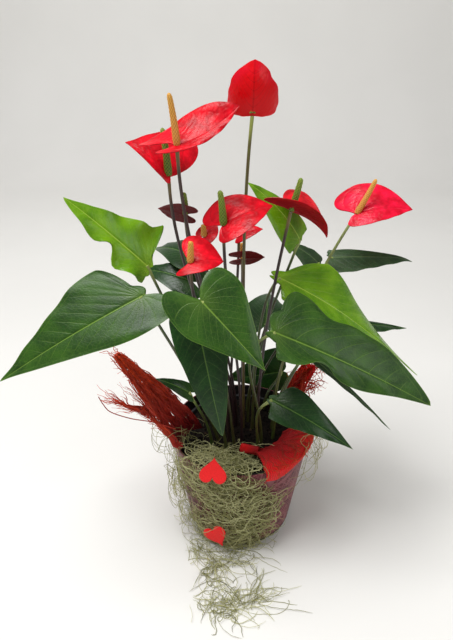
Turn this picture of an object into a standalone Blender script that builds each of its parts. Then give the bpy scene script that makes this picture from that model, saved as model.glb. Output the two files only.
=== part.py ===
"""A potted anthurium: eleven red flowers and sixteen leaves on thin stems, in a tapered pot
dressed with red sisal, two felt hearts and Spanish moss.

Units are metres, +Z is up, and the origin is the centre of the pot's base. The plant's front,
where the moss hangs, faces -Y. Each leaf and each flower is one row of choices in LEAVES or
FLOWERS, and the shape functions turn a row into a closed solid.
"""

from math import cos, pi, radians, sin, sqrt

import bmesh
import bpy
from mathutils import Matrix, Vector

# --- Driving dimensions -------------------------------------------------------------------

POT_HEIGHT = 0.111
POT_BASE_RADIUS = 0.0525
POT_RIM_RADIUS = 0.0677
POT_WALL = 0.0018
POT_FOOT_ROUNDING = 0.004
SOIL_LEVEL = 0.100
NURSERY_RIM_LEVEL = 0.104
NURSERY_WALL = 0.0010
GAP = 0.0003  # clearance between pieces that touch on the real plant

LEAF_THICKNESS = 0.0007
PETIOLE_RADIUS = 0.0014
SPATHE_THICKNESS = 0.0010
STALK_RADIUS = 0.0014
SPADIX_RADIUS = 0.0030
SPADIX_FOOT_RADIUS = 0.0014
SISAL_THICKNESS = 0.0012
MOSS_THICKNESS = 0.005
HEART_WIDTH = 0.025
HEART_THICKNESS = 0.003
HEART_STANDOFF = 0.0025  # from the moss to a heart, so that a tilted one clears it

TURNED_STEPS = 40
BLADE_RAYS = 10  # outline points on each half of a blade
BLADE_RINGS = 3
STEM_SIDES = 6

# Half outlines from the notch just behind the knee round one lobe to the tip: how far along
# the midrib (1 at the tip) and how far out from it (1 at the widest place).
OUTLINES = {
    "leaf": [(-0.03, 0.0), (-0.14, 0.20), (-0.22, 0.44), (-0.23, 0.68), (-0.15, 0.90), (0.03, 1.0),
             (0.20, 0.95), (0.38, 0.75), (0.56, 0.54), (0.74, 0.32), (0.89, 0.12), (1.0, 0.0)],
    "spathe": [(-0.03, 0.0), (-0.13, 0.22), (-0.20, 0.46), (-0.20, 0.70), (-0.12, 0.90), (0.06, 1.0),
               (0.30, 0.97), (0.55, 0.78), (0.76, 0.48), (0.90, 0.19), (1.0, 0.0)],
    "young": [(-0.03, 0.0), (-0.06, 0.25), (-0.09, 0.48), (-0.08, 0.72), (-0.02, 0.90), (0.12, 1.0),
              (0.32, 0.93), (0.54, 0.70), (0.76, 0.40), (0.91, 0.14), (1.0, 0.0)],
}

# --- The leaves and flowers ---------------------------------------------------------------


def blade(knee, tip, half, face, outline="leaf", **changes):
    """One blade: knee and tip of its midrib, half widths left and right of it, and the
    direction that its upper side faces. Pairs in the changes are also left and right.
    arch and skew bow the midrib, twist turns the blade along it in degrees, fold and cup bend
    the halves in degrees, wave ripples the edge, curl bends the last quarter, lobe scales the
    lobes behind the knee, rake sweeps the edge forward, full below 1 widens towards the tip."""
    choices = dict(arch=0.10, skew=0.0, twist=0.0, fold=(0, 0), cup=(0, 0), curl=0.0,
                   wave=0.0, waves=2.5, phase=0.0, lobe=(1, 1), rake=(0, 0), full=(1, 1))
    choices.update(changes)
    return dict(knee=Vector(knee), tip=Vector(tip), half=half, face=Vector(face),
                outline=outline, **choices)


def stem(root, leaves=(0, 0, 1), arrives=(0, 0, 1), rise=0.40, reach=0.30):
    """The stem under a blade: its place on the soil, the directions in which it leaves the soil
    and arrives at the knee, and how far it keeps to them as shares of the straight distance."""
    return dict(root=root, leaves=Vector(leaves), arrives=Vector(arrives), rise=rise, reach=reach)


LEAVES = {
    "leaf_upper_left": (
        blade((-0.077, -0.020, 0.293), (-0.135, -0.020, 0.349), (0.015, 0.026), (0.1, -0.6, 0.8),
              arch=0.03, fold=(0, 5), twist=-5, lobe=(0.3, 0.1), rake=(0, 0.1), full=(0.6, 1),
              wave=0.004, waves=2.85, phase=0.33),
        stem((-0.020, 0.006), (-0.3, 0, 1), (-0.4, 0, 1))),
    "leaf_left_large": (
        blade((-0.079, -0.050, 0.281), (-0.192, -0.070, 0.216), (0.028, 0.037), (0, -0.7, 0.75),
              arch=0.04, fold=(4, 0), lobe=(0.7, 0.2), rake=(0, 0.17)),
        stem((-0.022, -0.008), (-0.3, 0, 1), (-0.5, 0, 1))),
    "leaf_centre": (
        blade((-0.031, -0.080, 0.293), (0.014, -0.100, 0.248), (0.030, 0.026), (0.1, -0.8, 0.6),
              arch=0.02, lobe=(0.8, 1.4)),
        stem((-0.006, -0.018), (-0.1, 0, 1), (-0.1, -1.0, 0.7), reach=0.45)),
    "leaf_front_hanging": (
        blade((-0.036, -0.066, 0.271), (-0.017, -0.090, 0.178), (0.020, 0.021), (0, -0.9, 0.4),
              arch=0.06, lobe=(0.0, 0.3), full=(0.75, 0.75)),
        stem((-0.014, -0.022), (-0.1, 0, 1), (-0.1, -0.3, 1))),
    "leaf_low_left": (
        blade((-0.047, -0.030, 0.175), (-0.076, -0.030, 0.190), (0.007, 0.008), (0, -0.5, 0.8),
              full=(0.8, 0.8)),
        stem((-0.028, -0.014), (-0.1, 0, 1), (-0.3, -0.2, 1))),
    "leaf_right_large": (
        blade((0.025, -0.050, 0.249), (0.160, -0.050, 0.176), (0.041, 0.020), (0, -0.6, 0.8),
              arch=0.04, fold=(10, -10), full=(0.65, 0.85), wave=0.006, waves=1.25, phase=-2.1,
              lobe=(0.2, 0), rake=(0.05, 0.05)),
        stem((0.020, -0.012), (0, 0, 1), (1, -0.2, 0.5))),
    "leaf_upper_right": (
        blade((0.032, 0.000, 0.272), (0.164, 0.000, 0.172), (0.038, 0.018), (0.1, -0.6, 0.7),
              arch=0.08, skew=0.3, twist=-58, lobe=(0.2, 0), rake=(0.2, 0.05), full=(1.3, 1)),
        stem((0.012, 0.008), (0, 0, 1), (1, 0, 0.6), reach=0.13)),
    "leaf_young": (
        blade((0.047, 0.010, 0.303), (0.002, 0.010, 0.352), (0.018, 0.013), (0.2, -0.7, 0.8),
              outline="young", lobe=(0, 0)),
        stem((0.008, 0.020), (0, 0, 1), (0.3, 0, 1))),
    "leaf_right_curled": (
        blade((0.083, 0.044, 0.272), (0.155, 0.039, 0.273), (0.009, 0.018), (0, -0.4, 0.8),
              arch=0.02, lobe=(0.3, 0.3), full=(0.8, 0.8), curl=-0.05),
        stem((0.032, 0.032), (0.1, 0, 1), (0.5, 0, 1))),
    "leaf_behind_right": (
        blade((0.071, 0.050, 0.264), (0.036, 0.050, 0.286), (0.016, 0.008), (0, -0.6, 0.8),
              lobe=(0.4, 0.4)),
        stem((0.016, 0.044), (0, 0, 1), (-0.2, 0, 1))),
    "leaf_right_narrow": (
        blade((0.089, 0.030, 0.211), (0.157, 0.030, 0.205), (0.009, 0.020), (0, -0.15, 1),
              arch=0.02),
        stem((0.032, 0.010), (0, 0, 1), (0.8, 0, 1))),
    "leaf_back_centre": (
        blade((0.024, 0.040, 0.204), (0.030, 0.096, 0.208), (0.028, 0.024), (0, -0.5, 1)),
        stem((0.008, 0.036), (0, 0, 1), (0, 0, 1))),
    "leaf_low_right": (
        blade((0.025, -0.050, 0.182), (0.094, -0.070, 0.145), (0.019, 0.015), (0, -0.7, 0.8),
              lobe=(0.1, 0), rake=(0.12, 0.05)),
        stem((0.016, -0.024), (0, 0, 1), (1, -0.3, 0.8))),
    "leaf_right_edge_on": (
        blade((0.057, -0.010, 0.204), (0.141, -0.020, 0.123), (0.004, 0.004), (0.2, -0.6, 0.8),
              arch=0.03, lobe=(0.3, 0.3)),
        stem((0.032, -0.006), (0, 0, 1), (0.5, 0, 1))),
    "leaf_back_left": (
        blade((-0.044, 0.036, 0.276), (-0.084, 0.075, 0.266), (0.018, 0.020), (0, -0.4, 1)),
        stem((-0.020, 0.036), (0, 0, 1), (-0.9, -0.8, 1))),
    "leaf_back_left_low": (
        blade((-0.046, 0.028, 0.256), (-0.095, 0.055, 0.254), (0.016, 0.016), (0, -0.6, 0.8)),
        stem((-0.022, 0.024), (0, 0, 1), (-0.3, 0, 1))),
    "leaf_back_low": (
        blade((0.046, 0.073, 0.124), (-0.018, 0.080, 0.108), (0.014, 0.028), (0, -1, 0.3),
              arch=0.02, lobe=(0.5, 0.5)),
        stem((0.026, 0.040), (0, 0, 1), (0.3, 1, 0.1), rise=0.6, reach=0.4)),
}

# Each flower: the blade of its spathe, its stem, and the spadix's direction, length and colour.
FLOWERS = {
    "top": (
        blade((0.005, 0.000, 0.404), (0.006, 0.000, 0.440), (0.024, 0.023), (0, 1, 0), "spathe",
              arch=-0.1, cup=(60, 60), fold=(5, 5), lobe=(0.6, 0.6), full=(0.65, 0.65)),
        stem((0.003, 0.010), arrives=(0.1, 0.2, 1)), (0, 0.8, 1), 0.026, "green"),
    "upper_left": (
        blade((-0.048, -0.030, 0.389), (-0.005, -0.020, 0.413), (0.023, 0.008), (-0.3, -0.45, 1),
              "spathe", arch=-0.07, twist=40, lobe=(2.0, 1.5), full=(0.6, 1)),
        stem((-0.012, -0.002)), (-0.07, 0, 1), 0.034, "orange"),
    "upper_left_low": (
        blade((-0.057, -0.010, 0.362), (-0.089, 0.000, 0.384), (0.006, 0.042), (-0.2, -0.3, 1),
              "spathe", lobe=(0.5, 0.8)),
        stem((-0.018, 0.012)), (-0.05, 0.14, 1), 0.034, "green"),
    "left_dark": (
        blade((-0.047, 0.010, 0.325), (-0.069, 0.010, 0.330), (0.012, 0.012), (0, 1, 0.7),
              "spathe", arch=0, lobe=(2, 2)),
        stem((-0.006, 0.012)), (0, 0, 1), 0.018, "green"),
    "centre": (
        blade((-0.016, -0.030, 0.331), (0.021, -0.020, 0.342), (0.023, 0.017), (0, -0.5, 1),
              "spathe", lobe=(1.5, 0.9)),
        stem((0.001, -0.008)), (-0.05, 0, 1), 0.026, "green"),
    "behind_left": (
        blade((-0.032, 0.000, 0.310), (-0.021, 0.010, 0.315), (0.009, 0.010), (0, -0.3, 1),
              "spathe"),
        stem((-0.004, 0.014)), (0, 0, 1), 0.010, "orange"),
    "low_left": (
        blade((-0.040, -0.055, 0.312), (-0.016, -0.050, 0.310), (0.024, 0.011), (0, -0.5, 1),
              "spathe", lobe=(0.8, 2), full=(0.8, 0.8)),
        stem((-0.012, -0.014)), (0.1, 0, 1), 0.016, "orange"),
    "behind_right": (
        blade((-0.003, 0.034, 0.297), (0.018, 0.034, 0.303), (0.008, 0.008), (0, -0.5, 1),
              "spathe"),
        stem((-0.010, 0.034)), (0, 0, 1), 0.010, "orange"),
    "low_dark": (
        blade((0.000, 0.015, 0.284), (0.019, 0.015, 0.285), (0.014, 0.014), (0, 1, 0.9),
              "spathe", arch=0, lobe=(3, 3)),
        stem((0.002, 0.019)), (0, 0, 1), 0.014, "orange"),
    "right_folded": (
        blade((0.036, -0.010, 0.335), (0.066, -0.010, 0.313), (0.030, 0.014), (0.1, -0.3, 1),
              "spathe", arch=0.1, fold=(0, 70), lobe=(1, 2.3)),
        stem((0.016, -0.002), arrives=(0.2, 0.15, 1)), (0.3, 0, 1), 0.026, "green"),
    "far_right": (
        blade((0.097, 0.032, 0.318), (0.144, 0.032, 0.321), (0.030, 0.014), (0, -0.6, 1),
              "spathe", lobe=(1.6, 0.8)),
        stem((0.034, 0.020), arrives=(0.5, 0, 1)), (0.5, 0, 1), 0.032, "orange"),
}

# --- Blades -------------------------------------------------------------------------------


def catmull_rom(points, count):
    """count places spread evenly along a smooth curve through the points."""
    points = [Vector(p) for p in points]
    points = [2 * points[0] - points[1]] + points + [2 * points[-1] - points[-2]]
    spans = len(points) - 3
    places = []
    for i in range(count):
        t = spans * i / (count - 1)
        k = min(int(t), spans - 1)
        f = t - k
        a, b, c, d = points[k:k + 4]
        places.append(0.5 * (2 * b + (c - a) * f + (2 * a - 5 * b + 4 * c - d) * f**2
                             + (3 * b - a - 3 * c + d) * f**3))
    return places


def outline_of(kind, rays):
    """The whole outline as (along, across): from the notch round the left half to the tip, and
    back round the right half."""
    left = catmull_rom(OUTLINES[kind], rays)
    left[0].y = 0
    return left + [Vector((p.x, -p.y)) for p in reversed(left[1:-1])]


def base_frame(b):
    """The midrib's length and its heading, left and up directions at rest, without its bow."""
    chord = b["tip"] - b["knee"]
    heading = chord.normalized()
    up = (b["face"] - heading * b["face"].dot(heading)).normalized()
    return chord.length, heading, up.cross(heading), up


def midrib(b, u):
    length, heading, _, up = base_frame(b)
    bow = b["arch"] * 4 * u * (1 - u) * (1 + b["skew"] * (1 - 2 * u))
    end = max(0.0, (u - 0.75) / 0.25) ** 2
    return b["knee"] + length * (u * heading + (bow + b["curl"] * end) * up)


def blade_point(b, along, across):
    """The point of a blade at an outline coordinate."""
    side = 0 if across >= 0 else 1
    reach = abs(across) ** b["full"][side] if across else 0.0
    share = min(1.0, abs(across) / 0.3)
    lobe = 1 - share + share * b["lobe"][side]
    u = along * lobe if along < 0 else along
    u += b["rake"][side] * reach * (1 - u)
    step = 0.001
    _, _, _, up = base_frame(b)
    tangent = (midrib(b, u + step) - midrib(b, u - step)).normalized()
    left = up.cross(tangent).normalized()
    normal = tangent.cross(left)
    turn = radians(b["twist"]) * min(max(u, -0.3), 1.0)
    left, normal = left * cos(turn) + normal * sin(turn), normal * cos(turn) - left * sin(turn)
    width = b["half"][side]
    fold = radians(b["fold"][side])
    bend = radians(b["cup"][side]) or 0.0001
    out = width * (sin(fold + bend * reach) - sin(fold)) / bend
    rise = width * (cos(fold) - cos(fold + bend * reach)) / bend
    rise += b["wave"] * sin(2 * pi * b["waves"] * u + b["phase"] + 2.1 * side) * reach**2
    return midrib(b, u) + left * (out if side == 0 else -out) + normal * rise


def blade_mesh(b, name, rays=BLADE_RAYS, rings=BLADE_RINGS):
    """The blade as an open surface: rings of points about the knee, which is the origin."""
    outline = outline_of(b["outline"], rays)
    bm = bmesh.new()
    knee = bm.verts.new((0, 0, 0))
    loops = []
    for ring in range(1, rings + 1):
        share = ring / rings
        loops.append([bm.verts.new(blade_point(b, share * p.x, share * p.y) - b["knee"])
                      for p in outline])
    for i in range(len(outline)):
        after = (i + 1) % len(outline)
        bm.faces.new((knee, loops[0][after], loops[0][i]))
        for inner, outer in zip(loops, loops[1:]):
            bm.faces.new((inner[i], inner[after], outer[after], outer[i]))
    return finished(bm, name)


# --- Meshes and objects -------------------------------------------------------------------


def finished(bm, name):
    mesh = bpy.data.meshes.new(name)
    bm.to_mesh(mesh)
    bm.free()
    mesh.shade_smooth()
    mesh.set_sharp_from_angle(angle=radians(40))
    return mesh


def material(name, colour, roughness, metallic=0.0):
    made = bpy.data.materials.new(name)
    made.use_nodes = True
    shader = made.node_tree.nodes["Principled BSDF"]
    shader.inputs["Base Color"].default_value = (*colour, 1)
    shader.inputs["Roughness"].default_value = roughness
    shader.inputs["Metallic"].default_value = metallic
    return made


def add(name, mesh, look, at=(0, 0, 0), parent=None):
    obj = bpy.data.objects.new(name, mesh)
    bpy.context.scene.collection.objects.link(obj)
    obj.location = at
    obj.parent = parent
    mesh.materials.append(look)
    return obj


def thicken(obj, thickness):
    solid = obj.modifiers.new("thickness", "SOLIDIFY")
    solid.thickness = thickness
    solid.offset = 0


def join(obj, helper):
    """Unites a helper with the object, and keeps the helper out of the render."""
    helper.hide_render = True
    helper.display_type = "WIRE"
    union = obj.modifiers.new("union", "BOOLEAN")
    union.operation = "UNION"
    union.solver = "MANIFOLD"
    union.object = helper


def bezier(points, count):
    a, b, c, d = points
    return [(1 - t)**3 * a + 3 * (1 - t)**2 * t * b + 3 * (1 - t) * t**2 * c + t**3 * d
            for t in (i / (count - 1) for i in range(count))]


def tube_mesh(name, path, radii, sides=STEM_SIDES):
    """A closed tube along the path, with one radius for each of its points."""
    bm = bmesh.new()
    rings = []
    side = Vector((1, 0, 0))
    for i, place in enumerate(path):
        heading = (path[min(i + 1, len(path) - 1)] - path[max(i - 1, 0)]).normalized()
        side = (side - heading * side.dot(heading)).normalized()
        other = heading.cross(side)
        rings.append([bm.verts.new(place + radii[i] * (side * cos(a) + other * sin(a)))
                      for a in (2 * pi * k / sides for k in range(sides))])
    for low, high in zip(rings, rings[1:]):
        for k in range(sides):
            bm.faces.new((low[k], low[(k + 1) % sides], high[(k + 1) % sides], high[k]))
    bm.faces.new(list(reversed(rings[0])))
    bm.faces.new(rings[-1])
    return finished(bm, name)


def turned_mesh(name, profile):
    """A closed turned solid: the profile runs from the axis round the section to the axis."""
    bm = bmesh.new()
    points = [bm.verts.new((r, 0, z)) for r, z in profile]
    edges = [bm.edges.new(pair) for pair in zip(points, points[1:])]
    bmesh.ops.spin(bm, geom=points + edges, cent=(0, 0, 0), axis=(0, 0, 1), dvec=(0, 0, 0),
                   angle=2 * pi, steps=TURNED_STEPS, use_merge=True)
    bmesh.ops.remove_doubles(bm, verts=bm.verts, dist=0.00001)
    bmesh.ops.recalc_face_normals(bm, faces=bm.faces)
    return finished(bm, name)


def grid_mesh(name, point, columns, rows):
    """An open sheet: point(s, t) gives the place at two shares from 0 to 1."""
    bm = bmesh.new()
    grid = [[bm.verts.new(point(i / columns, j / rows)) for i in range(columns + 1)]
            for j in range(rows + 1)]
    for low, high in zip(grid, grid[1:]):
        for i in range(columns):
            bm.faces.new((low[i], low[i + 1], high[i + 1], high[i]))
    return finished(bm, name)


# --- The pot and its filling --------------------------------------------------------------


def pot_radius(z):
    """The outside of the pot at a height."""
    return POT_BASE_RADIUS + (POT_RIM_RADIUS - POT_BASE_RADIUS) * z / POT_HEIGHT


def outer_pot(look):
    foot = POT_FOOT_ROUNDING
    rounding = [(pot_radius(foot) - foot * (1 - sin(a)), foot * (1 - cos(a)))
                for a in (radians(22.5 * i) for i in range(5))]
    inside = POT_WALL
    profile = [(0, 0)] + rounding + [
        (POT_RIM_RADIUS, POT_HEIGHT),
        (POT_RIM_RADIUS - inside, POT_HEIGHT),
        (pot_radius(foot) - inside, foot + inside),
        (pot_radius(foot) - inside - foot, inside),
        (0, inside),
    ]
    return add("outer_pot", turned_mesh("outer_pot", profile), look)


NURSERY_FLOOR = POT_WALL + GAP
NURSERY_BASE_RADIUS = 0.044
NURSERY_RIM_RADIUS = 0.060
NURSERY_LIP = 0.002


def nursery_pot(look):
    wall = NURSERY_WALL
    lip = NURSERY_LIP
    profile = [
        (0, NURSERY_FLOOR),
        (NURSERY_BASE_RADIUS, NURSERY_FLOOR),
        (NURSERY_RIM_RADIUS - lip, NURSERY_RIM_LEVEL - 2 * lip),
        (NURSERY_RIM_RADIUS, NURSERY_RIM_LEVEL - 2 * lip),
        (NURSERY_RIM_RADIUS, NURSERY_RIM_LEVEL),
        (NURSERY_RIM_RADIUS - lip - wall, NURSERY_RIM_LEVEL),
        (NURSERY_BASE_RADIUS - wall, NURSERY_FLOOR + wall),
        (0, NURSERY_FLOOR + wall),
    ]
    return add("nursery_pot", turned_mesh("nursery_pot", profile), look)


def potting_soil(look):
    low = NURSERY_FLOOR + NURSERY_WALL + GAP
    taper = (NURSERY_RIM_RADIUS - NURSERY_LIP - NURSERY_BASE_RADIUS) / (NURSERY_RIM_LEVEL - NURSERY_FLOOR)

    def inside(z):
        return NURSERY_BASE_RADIUS + taper * (z - NURSERY_FLOOR) - NURSERY_WALL - 3 * GAP

    profile = [(0, low), (inside(low), low), (inside(SOIL_LEVEL), SOIL_LEVEL), (0, SOIL_LEVEL)]
    return add("potting_soil", turned_mesh("potting_soil", profile), look)


# --- The dressing -------------------------------------------------------------------------


def channel(start, middle, end, width, opening):
    """A sheet along a bowed centre line, bent across its width like a gutter that opens along
    the given direction."""
    start, middle, end, opening = (Vector(v) for v in (start, middle, end, opening))

    def point(s, t):
        centre = (1 - t)**2 * start + 2 * t * (1 - t) * middle + t**2 * end
        heading = (2 * (1 - t) * (middle - start) + 2 * t * (end - middle)).normalized()
        across = opening.cross(heading).normalized()
        normal = heading.cross(across)
        span = width * (1 - 0.35 * t)
        angle = (s - 0.5) * pi * 0.6
        radius = span / (pi * 0.6)
        return centre + across * radius * sin(angle) + normal * radius * (1 - cos(angle))

    return point


def sisal_fan_left(look):
    shape = channel((-0.052, -0.010, 0.113), (-0.072, -0.024, 0.160), (-0.109, -0.024, 0.211),
                    0.034, (0.5, -0.9, 0.4))
    obj = add("sisal_fan_left", grid_mesh("sisal_fan_left", shape, 6, 8), look)
    thicken(obj, SISAL_THICKNESS)


def sisal_fan_right(look):
    shape = channel((0.048, 0.030, 0.108), (0.056, 0.034, 0.135), (0.070, 0.030, 0.164),
                    0.024, (-0.3, -0.9, 0.3))
    obj = add("sisal_fan_right", grid_mesh("sisal_fan_right", shape, 5, 5), look)
    thicken(obj, SISAL_THICKNESS)


def sisal_fold_front(look):
    """A flap of sisal that lies over the rim at the front right."""
    places = catmull_rom([
        (0.032, 0.1065),
        (0.046, 0.1150),
        (0.058, 0.1160),
        (POT_RIM_RADIUS - 0.001, POT_HEIGHT + 0.0025),
        (POT_RIM_RADIUS + 0.0020, POT_HEIGHT + 0.0005),
        (POT_RIM_RADIUS + 0.0022, POT_HEIGHT - 0.0035),
    ], 9)

    def point(s, t):
        place = places[round(8 * t)]
        azimuth = radians(-72 + 66 * s)
        inward = 0.010 * s * (1 - t)
        radius = place.x + inward
        return Vector((radius * cos(azimuth), radius * sin(azimuth), place.y))

    obj = add("sisal_fold_front", grid_mesh("sisal_fold_front", point, 8, 8), look)
    thicken(obj, SISAL_THICKNESS)


def heart_mesh(name):
    """A felt heart, facing +Y in its own frame, with its point down."""
    bm = bmesh.new()
    outline = []
    for i in range(18):
        a = 2 * pi * i / 18
        x = 16 * sin(a)**3
        z = 13 * cos(a) - 5 * cos(2 * a) - 2 * cos(3 * a) - cos(4 * a)
        outline.append(bm.verts.new((x * HEART_WIDTH / 32, -HEART_THICKNESS / 2, z * HEART_WIDTH / 32)))
    front = bm.faces.new(outline)
    made = bmesh.ops.extrude_face_region(bm, geom=[front])
    moved = [v for v in made["geom"] if isinstance(v, bmesh.types.BMVert)]
    bmesh.ops.translate(bm, verts=moved, vec=(0, HEART_THICKNESS, 0))
    bmesh.ops.recalc_face_normals(bm, faces=bm.faces)
    return finished(bm, name)


def heart(name, azimuth, height, inward, roll, lean, look):
    """A heart on the moss, at an azimuth round the pot: rolled in its plane, leaning outwards,
    and shifted inwards where the moss turns over the rim."""
    clear_of_moss = 3 * GAP + MOSS_THICKNESS + HEART_STANDOFF + HEART_THICKNESS / 2
    out = pot_radius(height) + clear_of_moss - inward
    a = radians(azimuth)
    obj = add(name, heart_mesh(name), look, (out * cos(a), out * sin(a), height))
    obj.rotation_euler = (Matrix.Rotation(a + pi / 2, 3, "Z") @ Matrix.Rotation(radians(lean), 3, "X")
                          @ Matrix.Rotation(radians(roll), 3, "Y")).to_euler()


def moss_drape(look):
    """The mat of Spanish moss over the front of the soil, the rim and the front of the pot."""
    outside = 2 * GAP + MOSS_THICKNESS / 2
    places = catmull_rom([
        (0.038, 0.1050),
        (0.050, 0.1080),
        (0.060, 0.1135),
        (POT_RIM_RADIUS - 0.0020, POT_HEIGHT + 0.0045),
        (POT_RIM_RADIUS + 0.0030, POT_HEIGHT + 0.0040),
        (POT_RIM_RADIUS + 0.0045, POT_HEIGHT - 0.0010),
        (pot_radius(0.095) + outside, 0.095),
        (pot_radius(0.065) + outside, 0.065),
        (pot_radius(0.035) + outside, 0.035),
        (pot_radius(0.004) + outside, 0.004),
    ], 19)

    def point(s, t):
        place = places[round(18 * t)]
        left = -152 + 6 * t
        right = -77 + 22 * sin(pi * min(1.0, max(0.0, (t - 0.58) / 0.45)))
        azimuth = radians(left + (right - left) * s)
        return Vector((place.x * cos(azimuth), place.x * sin(azimuth), place.y))

    obj = add("moss_drape", grid_mesh("moss_drape", point, 9, 18), look)
    thicken(obj, MOSS_THICKNESS)


def moss_trail(look):
    """The moss that trails over the table in front of the pot and ends in a loose tuft."""
    thick = 0.004
    start = -pot_radius(0) - MOSS_THICKNESS - thick
    end = -0.138

    def point(s, t):
        y = start + (end - start) * t
        half = 0.024 - 0.016 * sin(pi * min(1, 1.5 * t)) * (t < 0.667) + 0.006 * max(0, t - 0.6)
        half *= sqrt(max(0.06, 1 - max(0, t - 0.75) * 3.4))
        x = -0.020 + 0.010 * t + (2 * s - 1) * half
        return Vector((x, y, thick / 2 + 0.0002))

    obj = add("moss_trail", grid_mesh("moss_trail", point, 6, 12), look)
    thicken(obj, thick)


# --- The plant ----------------------------------------------------------------------------


def stem_path(st, knee, stop):
    """Places along a stem, from just above the soil to the knee. stop is how far before
    (or, below zero, beyond) the knee it ends."""
    leaves, arrives = st["leaves"].normalized(), st["arrives"].normalized()
    tilt_drop = STALK_RADIUS * sqrt(1 - leaves.z**2)
    foot = Vector((*st["root"], SOIL_LEVEL + 2 * GAP + tilt_drop))
    distance = (knee - foot).length
    end = knee - arrives * stop
    return bezier((foot, foot + leaves * st["rise"] * distance,
                   end - arrives * st["reach"] * distance, end), 9)


def clearance(b, direction, radius):
    """How far from the knee a round stem end stops to clear the blade by the usual gap."""
    _, _, _, up = base_frame(b)
    slope = abs(direction.normalized().dot(up))
    slope = max(slope, 0.30)
    return (SPATHE_THICKNESS / 2 + 3 * GAP + 1.2 * radius * sqrt(1 - slope**2)) / slope


def leaf(name, b, st, look, plant):
    obj = add(name, blade_mesh(b, name), look, b["knee"], plant)
    thicken(obj, LEAF_THICKNESS)
    path = stem_path(st, b["knee"], -LEAF_THICKNESS)
    petiole = add(name + "_petiole", tube_mesh(name, path, [PETIOLE_RADIUS] * len(path)), look,
                  parent=plant)
    join(obj, petiole)


def flower(name, b, st, spadix_way, spadix_length, looks, spadix_look, plant):
    spathe = add("spathe_" + name, blade_mesh(b, name), looks["spathe"], b["knee"], plant)
    thicken(spathe, SPATHE_THICKNESS)
    path = stem_path(st, b["knee"], clearance(b, st["arrives"], STALK_RADIUS))
    add("stalk_" + name, tube_mesh(name, path, [STALK_RADIUS] * len(path)), looks["stalk"],
        parent=plant)
    way = Vector(spadix_way).normalized()
    foot = b["knee"] + way * clearance(b, way, SPADIX_RADIUS)
    shares = (0, 0.08, 0.2, 0.5, 0.8, 0.94, 1)
    girths = (SPADIX_FOOT_RADIUS / SPADIX_RADIUS, 0.8, 1, 0.95, 0.8, 0.55, 0.2)
    path = [foot + way * spadix_length * share for share in shares]
    radii = [SPADIX_RADIUS * girth for girth in girths]
    add("spadix_" + name, tube_mesh(name, path, radii, 8), spadix_look, parent=plant)


def build():
    for obj in list(bpy.data.objects):
        bpy.data.objects.remove(obj)

    outer_pot(material("pot_burgundy", (0.22, 0.035, 0.045), 0.35))
    nursery_pot(material("nursery_black", (0.01, 0.01, 0.01), 0.5))
    potting_soil(material("soil_dark", (0.02, 0.013, 0.008), 0.95))

    sisal = material("sisal_red", (0.55, 0.02, 0.015), 0.8)
    sisal_fan_left(sisal)
    sisal_fan_right(sisal)
    sisal_fold_front(sisal)
    moss = material("moss_grey_green", (0.30, 0.30, 0.17), 0.9)
    moss_drape(moss)
    moss_trail(moss)
    felt = material("felt_red", (0.80, 0.01, 0.01), 0.9)
    heart("heart_upper", -110, 0.1185, 0.0040, 172, -42, felt)
    heart("heart_lower", -111, 0.0275, -0.0008, -35, -5, felt)

    plant = bpy.data.objects.new("plant", None)
    bpy.context.scene.collection.objects.link(plant)
    dark = material("leaf_dark_green", (0.02, 0.09, 0.015), 0.35)
    bright = material("leaf_bright_green", (0.14, 0.32, 0.02), 0.35)
    young = ("leaf_upper_left", "leaf_upper_right", "leaf_young")
    for name, (b, st) in LEAVES.items():
        leaf(name, b, st, bright if name in young else dark, plant)

    looks = dict(spathe=material("spathe_red", (0.62, 0.01, 0.02), 0.25),
                 stalk=material("stalk_olive", (0.10, 0.09, 0.02), 0.5))
    spadices = dict(green=material("spadix_green", (0.16, 0.26, 0.03), 0.6),
                    orange=material("spadix_orange", (0.62, 0.28, 0.03), 0.6))
    for name, (b, st, way, length, colour) in FLOWERS.items():
        flower(name, b, st, way, length, looks, spadices[colour], plant)


build()
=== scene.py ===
"""The looks of a potted anthurium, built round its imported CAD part.

Every leaf and flower repeats its row of choices from the design, and gets a fine blade with
veins and quilting, a stem with a swollen knee, and a spadix covered in bumps. The pot, soil,
sisal, felt hearts and Spanish moss replace their plain CAD solids. Units are metres.
"""

import random
from math import cos, pi, radians, sin, sqrt

import bpy
import numpy as np
from mathutils import Matrix, Vector, noise


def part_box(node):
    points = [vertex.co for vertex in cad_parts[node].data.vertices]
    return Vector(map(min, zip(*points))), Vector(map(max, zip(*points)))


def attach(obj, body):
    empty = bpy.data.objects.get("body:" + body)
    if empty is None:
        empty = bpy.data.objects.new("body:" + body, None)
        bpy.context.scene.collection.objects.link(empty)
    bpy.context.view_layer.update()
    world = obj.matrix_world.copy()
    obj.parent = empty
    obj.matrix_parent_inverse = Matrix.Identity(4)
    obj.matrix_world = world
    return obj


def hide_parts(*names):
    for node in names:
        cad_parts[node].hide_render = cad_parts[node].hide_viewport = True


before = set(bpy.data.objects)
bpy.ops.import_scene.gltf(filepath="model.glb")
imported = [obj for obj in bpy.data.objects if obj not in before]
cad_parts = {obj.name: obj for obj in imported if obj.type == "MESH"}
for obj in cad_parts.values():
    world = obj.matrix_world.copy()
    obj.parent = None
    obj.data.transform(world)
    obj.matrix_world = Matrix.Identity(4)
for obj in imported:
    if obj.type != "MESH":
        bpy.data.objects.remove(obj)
noise.seed_set(1)  # or else noise_vector is seeded by the clock and differs each run
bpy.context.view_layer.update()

# --- Driving dimensions: the design's own, and those read from the frame ---

GAP = 0.0003
LEAF_THICKNESS = 0.0006
SPATHE_THICKNESS = 0.0008
STALK_RADIUS = 0.0014
SPADIX_RADIUS = 0.0030
SISAL_THICKNESS = 0.0009
STRAND_RADIUS = 0.00032

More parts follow.
